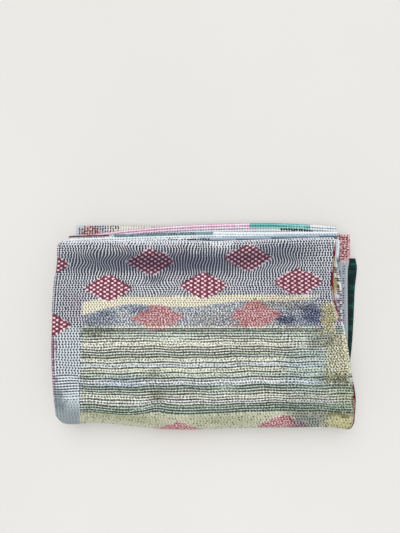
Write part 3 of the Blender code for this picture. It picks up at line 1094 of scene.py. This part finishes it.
def crease_depth(side, is_face):
    x, y = side["pattern"].T
    main = is_face & (side["row"] <= 3) & (side["column"] <= 1)
    # Painted shade round the stitches, deeper in the hollow where the shade falls.
    depth = np.where(main, 0.92 - 0.14 * hollow_share(x, y), 0.45)
    depth = np.where(main & (x < PLAIN_STRIP_RIGHT) & (y < 5), 0.74, depth)
    depth = np.where(main & (x < -222) & (y < -125), 0.25, depth)
    # Less painted shade under the roll's painted highlight.
    depth = np.where(main & (side["row"] > 0), depth * (1 - 0.7 * roll_highlight_share(x, y)), depth)
    depth = np.where((side["row"] == 6) & (side["column"] <= 1), 0.15, depth)
    depth = np.where((side["row"] == 2) & (side["across"] < 0.8), 0.0, depth)
    for name, value in STITCH_SHADES.items():
        depth = np.where(side["patches"][name] > 0, value, depth)
    return depth if is_face else np.full(len(x), 0.3)


measured = ("across", "along", "pattern", "pucker")
both = {key: np.concatenate([face[key], back[key]]) for key in measured}
add_colours(quilt, "sari_dye_and_painted_light", np.concatenate([face_dye_and_painted_light, back_dye_and_painted_shade]))
add_colours(quilt, "shadow", shadows)
add_colours(quilt, "stain", stains)
for name in face["patches"]:
    add_measure(quilt, name, np.concatenate([face["patches"][name], back["patches"][name]]))
add_measure(quilt, "pucker", both["pucker"])
add_measure(quilt, "gap", 0.88 - 0.53 * hollow_share(*both["pattern"].T))
add_measure(quilt, "row_line", line_strength(both["pattern"][:, 0], both["along"]))
add_measure(quilt, "crease", np.concatenate([crease_depth(*side) for side in sides]))


def add_uv(mesh, name, coordinates):
    layer = mesh.uv_layers.new(name=name)
    corners = np.zeros(len(mesh.loops), np.int32)
    mesh.loops.foreach_get("vertex_index", corners)
    layer.data.foreach_set("uv", np.ascontiguousarray(coordinates[corners], np.float32).ravel())


open_place = np.column_stack([both["across"] * STITCH_X, both["along"] * STITCH_Y])
add_uv(quilt, "open_cloth", open_place * MM)
add_uv(quilt, "pattern", both["pattern"] * MM)
quilt.polygons.foreach_set("use_smooth", np.ones(len(quilt.polygons), bool))
quilt.update()
print("carried by the mesh:", [attribute.name for attribute in quilt.attributes])

# %% [markdown]
# ## The cotton
#
# Plain-weave cotton voile, washed hundreds of times: matt, a little fuzzy, its dyes uneven. The
# fuzz is sheen, the weave is a fine crossed wave in the bump, and the wear is noise that mixes
# the dye with a paler one. The dimples are painted darker and the ridges lighter: painted shade
# and painted light that follow the height of the puckers, and wear where the washing reaches the
# ridges first. One helper adds a node with its settings and links.


# %% The node helper
def node(kind, settings=None, *values, output=0, **links):
    """Adds a node to the tree in hand and gives one of its outputs. settings are its properties,
    values go to its first inputs, and each link names another input (or _number). A value is a
    number, a colour or another node's output."""
    made = tree.nodes.new("ShaderNode" + kind)
    for name, value in (settings or {}).items():
        setattr(made, name, value)
    inputs = dict(enumerate(values))
    for name, value in links.items():
        inputs[int(name[1:]) if name.startswith("_") else name.replace("_", " ")] = value
    for key, value in inputs.items():
        if isinstance(value, bpy.types.NodeSocket):
            tree.links.new(value, made.inputs[key])
        else:
            made.inputs[key].default_value = value
    return made.outputs[output]


def new_material(name, **finish):
    """A material, its nodes and its surface. finish is what is the same all over it."""
    material = bpy.data.materials.new(name)
    material.use_nodes = True
    surface = material.node_tree.nodes["Principled BSDF"]
    for setting, value in finish.items():
        surface.inputs[setting.replace("_", " ")].default_value = value
    return material, material.node_tree, surface


def rgba(hex_colour):
    return (*linear(hex_colour), 1)


def blotch_scale(size):
    """The scale at which a noise has blotches of about this size, in mm."""
    return round(1 / (size * MM))


PLUS, MINUS, TIMES, TIMES_PLUS, COSINE, LARGER = (
    {"operation": name}
    for name in ("ADD", "SUBTRACT", "MULTIPLY", "MULTIPLY_ADD", "COSINE", "MAXIMUM")
)
MIX = {"data_type": "RGBA"}
MIX_TIMES = {"data_type": "RGBA", "blend_type": "MULTIPLY"}
print("crimson as Blender takes it:", np.round(rgba("#864458"), 3), "scale for 3 mm:", blotch_scale(3))

# %% Cotton material
cotton, tree, surface = new_material(
    "old_sari_cotton",
    Roughness=0.9,
    Sheen_Weight=0.1,
    Sheen_Roughness=0.5,
    Specular_IOR_Level=0.25,
)
cloth_uv = node("UVMap", {"uv_map": "open_cloth"})
pattern_uv = node("UVMap", {"uv_map": "pattern"})
# The mottling is about as large as a pucker, and the stains and specks are a little smaller.
MOTTLE, UNEVEN, SPECK, WORN_SPECK = 3.03, 2.38, 2.325, 2.5
mottle = node("TexNoise", Vector=pattern_uv, Scale=blotch_scale(MOTTLE), Detail=3)
colour = node("Attribute", {"attribute_name": "sari_dye_and_painted_light"}, output="Color")

# Each patch: its distance, two colours, how low and high the mottling mixes them, ragged edge.
PATCHES = [
    ("border", "#B6B8A0", "#D9D9C4", 0.38, 0.62, 3),
    ("indigo", "#667E9A", "#FAFAF8", 0.42, 0.57, 6),
    ("coral", "#A84254", "#F8DCDC", 0.42, 0.58, 16),
    ("yellow", "#E6DDB8", "#FFFDF2", 0.40, 0.60, 3),
    ("olive", "#ACA874", "#FBFAE4", 0.40, 0.57, 12),
]


def patch_mask(name, ragged):
    """1 inside a patch and 0 outside it, with an edge as ragged as the mottling makes it."""
    distance = node("Attribute", {"attribute_name": name}, output="Fac")
    wobble = node("Math", TIMES_PLUS, mottle, ragged, -0.5 * ragged)
    return node("MapRange", None, node("Math", PLUS, distance, wobble), -0.5, 0.5)


for name, dark, pale, low, high, ragged in PATCHES:
    share = node("MapRange", None, mottle, low, high)
    tone = node("Mix", MIX, share, _6=rgba(dark), _7=rgba(pale), output=2)
    colour = node("Mix", MIX, patch_mask(name, ragged), _6=colour, _7=tone, output=2)

# The puffs of a diamond are paler, in the same brick pattern as its puckers.
across_uv, along_uv, _ = node("SeparateXYZ", None, cloth_uv).node.outputs
full_turn = 2 * math.pi
puff_x = node("Math", TIMES, across_uv, full_turn / (PUFF_X * MM))
puff_x = node("Math", COSINE, puff_x)
puff_y = node("Math", TIMES, along_uv, full_turn / (PUFF_ROWS * STITCH_Y * MM))
puff_y = node("Math", COSINE, puff_y)
narrowed = node("Math", MINUS, 1.0, node("Math", TIMES, puff_x, puff_x))
narrowed = node("Math", TIMES, narrowed, 0.2)
puff = node("Math", MINUS, node("Math", TIMES, puff_x, puff_y), narrowed)
puff = node("Math", TIMES_PLUS, mottle, 2.4, node("Math", PLUS, puff, -1.2))
puff = node("MapRange", None, puff, 0.14, 0.5)
crimson = node("Mix", MIX, puff, _6=rgba("#864458"), _7=rgba("#F8DAE2"), output=2)
colour = node("Mix", MIX, patch_mask("diamond", 3), _6=colour, _7=crimson, output=2)
shadow = node("Attribute", {"attribute_name": "shadow"}, output="Color")
stain = node("Attribute", {"attribute_name": "stain"}, output="Color")
colour = node("Mix", MIX_TIMES, 1.0, _6=colour, _7=shadow, output=2)
stained = node("Mix", MIX_TIMES, 1.0, _6=colour, _7=stain, output=2)
uneven = node("TexNoise", Vector=pattern_uv, Scale=blotch_scale(UNEVEN), Detail=2)
share = node("MapRange", None, uneven, 0.62, 0.42)
colour = node("Mix", MIX, share, _6=colour, _7=stained, output=2)
print("nodes for the dyes:", len(tree.nodes))

# %% [markdown]
# Where the stitches bite, the cloth is painted dark, a painted shade in its dimples: along the
# columns of the plain cloth, and along the rows of the stripes. The same two waves that shape the
# puckers say where that is.

# %% Painted shade where the stitches bite, and pale worn specks
across_bite = node("Math", TIMES, across_uv, full_turn / (STITCH_X * MM))
across_bite = node("Math", TIMES_PLUS, node("Math", COSINE, across_bite), 0.5, 0.5)
along_bite = node("Math", TIMES, along_uv, full_turn / (STITCH_Y * MM))
along_bite = node("Math", TIMES_PLUS, node("Math", COSINE, along_bite), 0.5, 0.5)
gaps = node("Attribute", {"attribute_name": "gap"}, output="Fac")
between = node("Math", MINUS, 1.0, along_bite)
dashes = node("Math", MINUS, 1.0, node("Math", TIMES, gaps, between))
column_bite = node("Math", TIMES, across_bite, dashes)
row_dashes = node("Math", TIMES_PLUS, across_bite, 0.65, 0.35)
row_line = node("Attribute", {"attribute_name": "row_line"}, output="Fac")
row_bite = node("Math", TIMES, node("Math", TIMES, along_bite, row_line), row_dashes)
is_row = patch_mask("rows", 0)
is_column = node("Math", MINUS, 1.0, is_row)
row_bite = node("Math", TIMES, row_bite, is_row)
column_bite = node("Math", TIMES, column_bite, is_column)
bite = node("Math", PLUS, row_bite, column_bite)
bite = node("Math", TIMES_PLUS, mottle, 0.5, node("Math", PLUS, bite, -0.25))
crease = node("Attribute", {"attribute_name": "crease"}, output="Fac")
bite = node("Math", TIMES, node("MapRange", None, bite, 0.05, 0.26), crease)
in_stripes = patch_mask("stripes", 0)
specks = node("TexNoise", Vector=pattern_uv, Scale=blotch_scale(SPECK), Detail=2)
specks = node("MapRange", None, specks, 0.49, 0.41)
specks = node("Math", TIMES, specks, node("Math", TIMES, in_stripes, 0.85))
bite = node("Math", LARGER, bite, specks)
# Painted shade in the dimples and painted light on the ridges, from the height of the puckers.
pucker = node("Attribute", {"attribute_name": "pucker"}, output="Fac")
dimple = node("MapRange", None, pucker, -1.0, 0.8)
depth = node("MapRange", Value=dimple, To_Min=0.72, To_Max=1.2)
depth = node("Math", TIMES, depth, node("Math", MINUS, 1.0, bite))
depth = node("Math", TIMES, depth, node("Math", TIMES_PLUS, mottle, 0.5, 0.78))
depth = node("CombineColor", None, depth, depth, depth)
colour = node("Mix", MIX_TIMES, 1.0, _6=colour, _7=depth, output=2)
worn = node("TexNoise", Vector=pattern_uv, Scale=blotch_scale(WORN_SPECK), Detail=2)
worn = node("MapRange", None, worn, 0.57, 0.66)
worn = node("Math", TIMES, worn, node("Math", TIMES, in_stripes, 0.65))
colour = node("Mix", MIX, worn, _6=colour, _7=rgba("#FFFFF6"), output=2)
tree.links.new(colour, surface.inputs["Base Color"])
print("nodes with the dimples:", len(tree.nodes))

# %% The weave
# The yarns are about 0.3 mm apart, too fine to show, so the weave is drawn at 1 mm. A wave is
# 2 pi / 20 / scale metres long, and that is the width of two yarns.
DRAWN_YARN = 0.98
FUZZ = 1.111
WEAVE_SCALE = round(2 * math.pi / 20 / (2 * DRAWN_YARN * MM))
weave = []
for direction in ("X", "Y"):
    bands = {"wave_type": "BANDS", "bands_direction": direction}
    finish = dict(Vector=cloth_uv, Scale=WEAVE_SCALE, Distortion=1.2)
    weave.append(node("TexWave", bands, **finish, output="Fac"))
woven = node("Math", TIMES, node("Math", PLUS, *weave), 0.5)
fuzz = node("TexNoise", Vector=cloth_uv, Scale=blotch_scale(FUZZ), Detail=2)
woven = node("Math", PLUS, woven, fuzz)
bump = node("Bump", Height=woven, Strength=0.35, Distance=0.0004)
tree.links.new(bump, surface.inputs["Normal"])
quilt.materials.append(cotton)
print("nodes of the cotton:", len(tree.nodes))

# %% [markdown]
# ## The stitches
#
# A quilt like this has about 125,000 running stitches, and some 14,500 of them lie where they
# can be seen. Each one is a short piece of thick cotton thread that comes up, lies on the cloth
# and goes down again. It is modelled once, as a grain with three corners round it and pointed
# ends, and copied with its own length, width and turn: 18 triangles each. All stitches of a
# region are joined in one mesh.

# %% Thread colours and the grain
NAVY = "#10151F"
FADED_NAVY = "#252B38"
CORNER_THREAD = "#7E8A94"
CRIMSON_THREAD = "#3C0E1A"
OLIVE_THREAD = "#3A3820"
DARK_OLIVE_THREAD = "#16160E"
GREEN_THREAD = "#101A15"
CORAL_THREAD = "#8E2E3A"
LONGEST = 2.7  # the half length of the longest stitch, in mm
print("darkest thread:", np.round(linear(DARK_OLIVE_THREAD), 4), "longest, mm:", 2 * LONGEST)

# %% The grain: its 11 points as shares of the half length and half width, and its faces
GRAIN_POINTS = 11
GRAIN_AHEAD = np.array([-1, *np.repeat([-0.6, 0, 0.6], 3), 1])
GRAIN_BESIDE = np.array([0, *np.outer([0.85, 1, 0.85], [-1, 1, 0]).ravel(), 0])
GRAIN_OVER = np.array([-0.6, *np.outer([0.8, 1, 0.8], [0, 0, 0.6]).ravel(), -0.6])
GRAIN_SIDES = []
GRAIN_TIPS = []
for corner in range(3):
    next_corner = (corner + 1) % 3
    GRAIN_TIPS += [(0, 1 + next_corner, 1 + corner), (10, 7 + corner, 7 + next_corner)]
for ring in (1, 4):
    for corner in range(3):
        here, beside = ring + corner, ring + (corner + 1) % 3
        GRAIN_SIDES.append((here, beside, beside + 3, here + 3))


def thread_mesh(name, stitches, kept, face_side=True):
    """Joined grains for the stitches that are kept. stitches holds an array for each measure:
    lengthwise is 1 for those along the cloth and 0 for across it, and level is their height over
    the cloth."""
    stitches = {key: values[kept] for key, values in stitches.items()}
    half_width = stitches["half_width"][:, None]
    forward = stitches["half_length"][:, None] * GRAIN_AHEAD
    sideways = half_width * GRAIN_BESIDE + stitches["skew"][:, None] * forward
    run_along = stitches["lengthwise"][:, None] > 0.5
    move_along = np.where(run_along, forward, sideways) / STITCH_Y
    move_across = np.where(run_along, sideways, forward) / STITCH_X
    grid_across = (stitches["across"][:, None] + move_across).ravel()
    grid_along = (stitches["along"][:, None] + move_along).ravel()
    off = HALF_CLOTH + (stitches["level"][:, None] + half_width * GRAIN_OVER).ravel()
    placed = cloth_point(grid_across, grid_along, off if face_side else -off)[0]
    count = len(half_width)
    first_points = GRAIN_POINTS * np.arange(count)[:, None, None]
    sides_of_all = (first_points + np.array(GRAIN_SIDES)).reshape(-1, 4)
    tips_of_all = (first_points + np.array(GRAIN_TIPS)).reshape(-1, 3)
    mesh = bpy.data.meshes.new(name)
    corners = sides_of_all.tolist() + tips_of_all.tolist()
    mesh.from_pydata(((placed + shift) * MM).tolist(), [], corners)
    add_colours(mesh, "thread_dye", np.repeat(stitches["colour"], GRAIN_POINTS, axis=0))
    mesh.polygons.foreach_set("use_smooth", np.ones(len(mesh.polygons), bool))
    mesh.update()
    if not face_side:
        mesh.flip_normals()
    piece = bpy.data.objects.new(name, mesh)
    bpy.context.scene.collection.objects.link(piece)
    print(name, count, "stitches,", 18 * count, "triangles")
    return piece


print("faces of one grain:", len(GRAIN_SIDES) + len(GRAIN_TIPS))

# %% [markdown]
# A hand is never quite even, so each stitch starts out a little off its place on the grid. Then
# each place of the quilt changes its stitches: their colour, length, width, way and slant, and
# how many of them are kept.


# %% Where the stitches start out, and how a place changes them
def stitch_grid(rows, columns, seed):
    """Where the stitches start out, with a hand's small misses."""
    grids = np.meshgrid(np.array(rows, float), np.array(columns, float), indexing="ij")
    along, across = (grid.ravel() for grid in grids)
    random = np.random.default_rng(seed)
    across += random.normal(0, 0.07, len(across))
    along += random.normal(0, 0.08, len(along))
    return across, along, random


def change(stitches, inside, colour=None, **measures):
    """Gives the stitches inside a place their own colour and measures."""
    if colour:
        stitches["colour"][inside] = linear(colour)
    for measure, value in measures.items():
        stitches[measure] = np.where(inside, value, stitches[measure])


misses = stitch_grid([100], [10, 20, 30], 1)[0] - [10, 20, 30]
print("how far three stitches miss their places, in stitches:", np.round(misses, 2))


# %% Stitches of the plain cloth
def sew_plain(stitches, x, y, row, patches, random):
    """Faded beside the panel, pale in the near corner, and thinner and fewer on the roll, to go with
    its painted highlight.
    """
    in_strip = x < PLAIN_STRIP_RIGHT
    change(stitches, in_strip & (y < 5), FADED_NAVY, half_length=1.4, half_width=1.5)
    change(stitches, row == 0, half_width=0.85 * stitches["half_width"])
    # Pale threads in the near corner, so that they fade into its painted shade.
    in_shaded_corner = in_strip & (y < -124 - 22 * random.random(len(x)))
    change(stitches, in_shaded_corner, CORNER_THREAD, half_width=0.7)
    # Thinner and fewer stitches on the roll go with its painted highlight.
    on_roll = roll_highlight_share(x, y + random.normal(0, 2, len(x))) * (row > 1)
    stitches["half_width"] *= 1 - 0.58 * on_roll
    stitches["keep"] -= 0.42 * on_roll
    dashed = (x < -234) & (patches["rows"] > 0)
    change(stitches, dashed, half_length=2.1, half_width=1.1, lengthwise=0)


# How much of the roll's painted highlight three places get.
print("worn share over the roll:", np.round(roll_highlight_share(0, np.array([155, 163, 171])), 2))


# %% Stitches of the striped panel
def sew_stripes(stitches, x, y, along, patches, random):
    """Dashes along the rows, as strong as each row's line."""
    in_stripes = patches["stripes"] > 0
    strength = line_strength(x, along)
    leaning = np.sign(np.sin(x / 19 + 1.3 * np.sin(y / 9)))
    change(
        stitches,
        in_stripes,
        GREEN_THREAD,
        lengthwise=0,
        half_length=1.45 + 0.85 * strength + random.normal(0, 0.35, len(x)),
        half_width=1.08 + 0.45 * strength + random.normal(0, 0.15, len(x)),
        keep=0.68 + 0.28 * strength,
        skew=0.6 * leaning + random.normal(0, 0.2, len(x)),
    )
    busy = waves(1.7 * x, 2.3 * y, 9) + 0.2 * smooth_step(150, 190, x) > 0.62
    change(stitches, in_stripes & busy & (strength < 0.6), half_length=1.9, half_width=1.25)


print("how strong one row's line is along it:", np.round(line_strength(sample_x, 110), 2))

# %% Stitches of the other patches
# thread, half length, half width, along (1) or across (0), slant, how many are kept
PATCH_STITCHES = {
    "border": (OLIVE_THREAD, 1.4, 1.3, 1, 0.3, 0.3),
    "indigo": (NAVY, 1.3, 1.0, 1, 0.6, 0.75),
    "coral": (CORAL_THREAD, 1.25, 1.05, 1, 0.3, 0.78),
    "yellow": (OLIVE_THREAD, 1.2, 1.1, 1, 0.0, 0.9),
    "olive": (DARK_OLIVE_THREAD, 1.9, 1.35, 0, 0.6, 0.85),
}
print("patches with stitches of their own:", list(PATCH_STITCHES))


def sew_patches(stitches, x, y, puffs, patches, random):
    """Each patch by the table, and in the diamonds only between the puffs."""
    for patch, (colour, length, width, way, slant, kept) in PATCH_STITCHES.items():
        change(
            stitches,
            patches[patch] > 0,
            colour,
            half_length=length + random.normal(0, 0.15, len(x)),
            half_width=width + random.normal(0, 0.08, len(x)),
            lengthwise=way,
            skew=slant * np.sign(random.random(len(x)) - 0.3),
            keep=kept,
        )
    to_right = smooth_step(40, 120, x)
    stitches["half_width"] += 0.9 * to_right * (patches["yellow"] > 0)
    stitches["half_width"] += 0.35 * to_right * (patches["indigo"] > 0)
    reddened = (y < 48 + 3 * np.sin(x / 9)) & (np.sin(x / 31 - 0.6) > -0.2)
    change(stitches, reddened & (patches["yellow"] > 0), CORAL_THREAD)
    speckled = (patches["border"] > 0) & (x + 14 * random.random(len(x)) > 172) & (x < 236)
    change(stitches, speckled, NAVY, half_width=2.0, keep=0.9)
    in_diamond = patches["diamond"] > 0
    kept = 0.9 * (puffs < -0.15)
    change(stitches, in_diamond, CRIMSON_THREAD, half_length=1.3, half_width=1.2, keep=kept)


# %% Stitches of the top and the turns
def face_stitches(name, first_row, last_row, seed):
    columns = np.arange(1, ACROSS_STARTS[2])
    across, along, random = stitch_grid(np.arange(first_row, last_row), columns, seed)
    count = len(across)
    _, pattern, row, column = cloth_point(across, along, np.full(count, HALF_CLOTH))
    patches = patch_distances(pattern, row, column, across, along)
    x, y = pattern.T
    hollow = hollow_share(x, y)
    stitches = {
        "half_length": 2.0 + 0.25 * hollow + random.normal(0, 0.25, count),
        "half_width": 2.45 + random.normal(0, 0.25, count) - 1.0 * hollow,
        "lengthwise": np.ones(count),
        "skew": random.normal(0, 0.12, count),
        "keep": np.full(count, 0.98),
        "colour": np.tile(linear(NAVY), (count, 1)),
    }
    puffs = puff_height(np.round(across), np.round(along))
    sew_plain(stitches, x, y, row, patches, random)
    sew_stripes(stitches, x, y, along, patches, random)
    sew_patches(stitches, x, y, puffs, patches, random)
    stitches["colour"] *= (0.7 + 0.6 * random.random(count))[:, None]
    kept = random.random(count) < stitches.pop("keep")
    kept &= (across > 1.5) | (row != 2)
    stitches["half_length"] = np.clip(stitches["half_length"], 0.6, LONGEST)
    level = np.interp(along, [NEAR_TURN_ROW, NEAR_TURN_ROW + 4], [-1.35, -0.1])
    stitches.update(across=across, along=along, level=level)
    return thread_mesh(name, stitches, kept)


top_stitches = face_stitches("stitches_top", 86, 164, 11)
turn_stitches = face_stitches("stitches_turns", NEAR_TURN_ROW, 86, 12)
under_stitches = face_stitches("stitches_underside", 1, NEAR_TURN_ROW, 13)

# %% [markdown]
# ## Thread
#
# Thick soft cotton embroidery thread, hardly twisted: matt, dark, and a touch lighter where it
# has rubbed.

# %% Thread material
thread, tree, surface = new_material("cotton_thread", Roughness=0.8, Sheen_Weight=0.1)
thread_dye = node("Attribute", {"attribute_name": "thread_dye"}, output="Color")
place = node("TexCoord", output="Object")
RUBBED = 1.429  # how long a rubbed place on the thread is, in mm
rubbed = node("TexNoise", Vector=place, Scale=blotch_scale(RUBBED), Detail=2)
share = node("MapRange", None, rubbed, 0.55, 1.0)
paler = node("Mix", MIX, share, _6=thread_dye, _7=rgba("#5A5F6C"), output=2)
tree.links.new(paler, surface.inputs["Base Color"])
print("nodes of the thread:", len(tree.nodes))

# %% [markdown]
# ## Stitches of the strips
#
# The strips that stick out of the pack have stitches of their own. One table holds them, with a
# line for each kind, and one function makes them all.

# %% Stitches of the strips that stick out
HEM_ROWS = [*range(84, 89), *range(96, 102), *range(127, 160)]
BLOCK_ROWS = range(299, 310)
# name, rows, columns, seed, thread, half length, half width, along (1) or across (0), how many
# are kept, slant, level
STRIPS = [
    ("hem", HEM_ROWS, [0.3], 21, "#4E1420", 2.4, 1.0, 1, 0.9, 0.2, -0.05),
    ("far_band", [308, 309], range(54, 100), 22, "#1A2430", 1.6, 0.9, 0, 0.75, 0.2, -0.05),
    ("far_blue", [308, 308.7], range(1, 54), 35, "#4E7090", 1.5, 0.9, 0, 0.7, 0.2, -0.05),
    ("far_hem", [309.6], range(54, 100), 23, "#101C24", 2.0, 1.5, 0, 0.9, 0.2, -0.05),
    # An unbroken dark line of thread under the roll stands in for the shadow in the gap: a painted
    # shadow.
    ("painted_gap_shadow", [306.9, 307.2], range(48, 98), 32, "#1C242C", 2.7, 1.1, 0, 0.95, 0.2, -0.05),
    ("roll", [161.8, 162.6], range(12, 90), 33, "#3A444C", 1.7, 0.7, 0, 0.8, 0.2, -0.05),
    ("pink", [1, 2, 3], range(122, 173), 24, "#B04488", 1.6, 1.0, 0, 0.65, 0.2, -0.05),
    ("teal", [1], range(173, 194), 25, "#0E5A50", 1.6, 1.0, 0, 0.6, 0.2, -0.05),
    # An unbroken near-black line of thread across the sea green end is a painted shadow.
    ("teal_painted_shadow", [2, 2.3], range(182, 195), 30, "#0A1214", 2.7, 1.5, 0, 0.95, 0.2, 0.6),
    ("far_right", [1, 2, 3], range(192, 203), 26, NAVY, 1.2, 1.0, 0, 0.8, 0.2, -0.05),
]
BACK_STRIPS = [
    ("check", [0.4, 1.2, 2.0, 2.8], range(288, 304), 27, "#10182A", 2.3, 1.6, 0, 0.95, 0.35, -0.05),
    ("cream", [0.5, 1.5, 2.4], range(252, 289), 28, "#6C6C56", 1.2, 0.8, 0, 0.45, 0.5, -0.05),
    ("right", range(237, 298), [400.9, 402.2, 403.5], 29, "#1E262E", 2.3, 1.3, 1, 0.9, 0.45, -0.05),
    ("right_check", range(110, 152), [403.7, 404.5], 31, "#0C1014", 1.9, 2.1, 1, 0.7, 0.6, 0.2),
    ("red_block", BLOCK_ROWS, [401.3, 402.5, 403.7], 34, "#50242F", 2.1, 1.9, 1, 0.9, 0.4, -0.05),
]


def strip_stitches(strip, face_side):
    name, rows, columns, seed, colour, length, width, way, share_kept, slant, level = strip
    across, along, random = stitch_grid(rows, columns, seed)
    count = len(across)
    kept = random.random(count) < share_kept
    stitches = {
        "across": across,
        "along": along,
        "half_length": np.clip(random.normal(length, 0.15 * length, count), 0.4, LONGEST),
        "half_width": np.full(count, width),
        "lengthwise": np.full(count, way),
        "skew": slant * np.sign(random.random(count) - 0.5),
        "level": np.full(count, level),
    }
    shade = (0.7 + 0.6 * random.random(count))[:, None]
    stitches["colour"] = np.tile(linear(colour), (count, 1)) * shade
    return thread_mesh("stitches_" + name, stitches, kept, face_side)


stitch_pieces = [top_stitches, turn_stitches, under_stitches]
stitch_pieces += [strip_stitches(strip, True) for strip in STRIPS]
stitch_pieces += [strip_stitches(strip, False) for strip in BACK_STRIPS]
for piece in stitch_pieces:
    piece.data.materials.append(thread)
print("meshes of stitches:", len(stitch_pieces))

# %% [markdown]
# ## Frame, and what replaces what
#
# The cloth stands for the plain CAD solid. The open quilt is about 2.2 x 1.5 m, folded.

# %% Riding on the frame
for piece in [quilt_cloth, *stitch_pieces]:
    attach(piece, "root")
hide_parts("quilt")

# %% [markdown]
# ## Floor, light and camera
#
# A pale floor, soft light that comes mostly from the far side, and a camera that looks straight
# down, as one stands over a quilt laid on the floor.

# %% Floor
bpy.ops.object.select_all(action="DESELECT")
bpy.ops.mesh.primitive_plane_add(size=6, location=(0, 0, 0))
floor = bpy.context.object
floor.name = "floor"
plaster, tree, surface = new_material("pale_floor", Roughness=0.7, Specular_IOR_Level=0.2)
place = node("TexCoord", output="Object")
cloudy = node("TexNoise", Vector=place, Scale=1.2, Detail=3)  # clouds of about 0.8 m
share = node("MapRange", None, cloudy, 0.3, 0.7)
floor_colour = node("Mix", MIX, share, _6=rgba("#E4E3E0"), _7=rgba("#E9E8E6"), output=2)
tree.links.new(floor_colour, surface.inputs["Base Color"])
floor.data.materials.append(plaster)
print("floor, m:", tuple(floor.dimensions))

# %% Light
world = bpy.data.worlds.new("studio")
bpy.context.scene.world = world
world.use_nodes = True
sky = world.node_tree.nodes["Background"]
sky.inputs["Color"].default_value = (1, 0.985, 0.965, 1)
sky.inputs["Strength"].default_value = 0.62

# name, strength, softness, height over the horizon, side it comes from: 0 is far, + is right
SUNS = [
    ("window_light", 1.05, 50, 46, -12),
    ("sky_light", 0.3, 60, 80, 0),
    ("room_light", 0.5, 80, 38, 175),
]
for name, strength, softness, height, from_side in SUNS:
    sun = bpy.data.objects.new(name, bpy.data.lights.new(name, "SUN"))
    sun.data.energy = strength
    sun.data.angle = math.radians(softness)
    bpy.context.scene.collection.objects.link(sun)
    up, side = math.radians(height), math.radians(from_side)
    source = Vector((math.cos(up) * math.sin(side), math.cos(up) * math.cos(side), math.sin(up)))
    sun.rotation_euler = source.to_track_quat("Z", "Y").to_euler()
print("suns:", len(SUNS))

# The standard view shows each dye at its own sRGB value.
bpy.context.scene.view_settings.view_transform = "Standard"

# %% Camera
camera = bpy.data.objects.new("camera", bpy.data.cameras.new("camera"))
bpy.context.scene.collection.objects.link(camera)
camera.location = (-0.0153, 0.1136, 0.85)  # in metres, over the far half
camera.data.sensor_fit = "VERTICAL"
camera.data.sensor_height = 24
camera.data.lens = 19.29
bpy.context.scene.camera = camera
print("camera, m:", [round(v, 3) for v in camera.location], "lens:", round(camera.data.lens, 2))
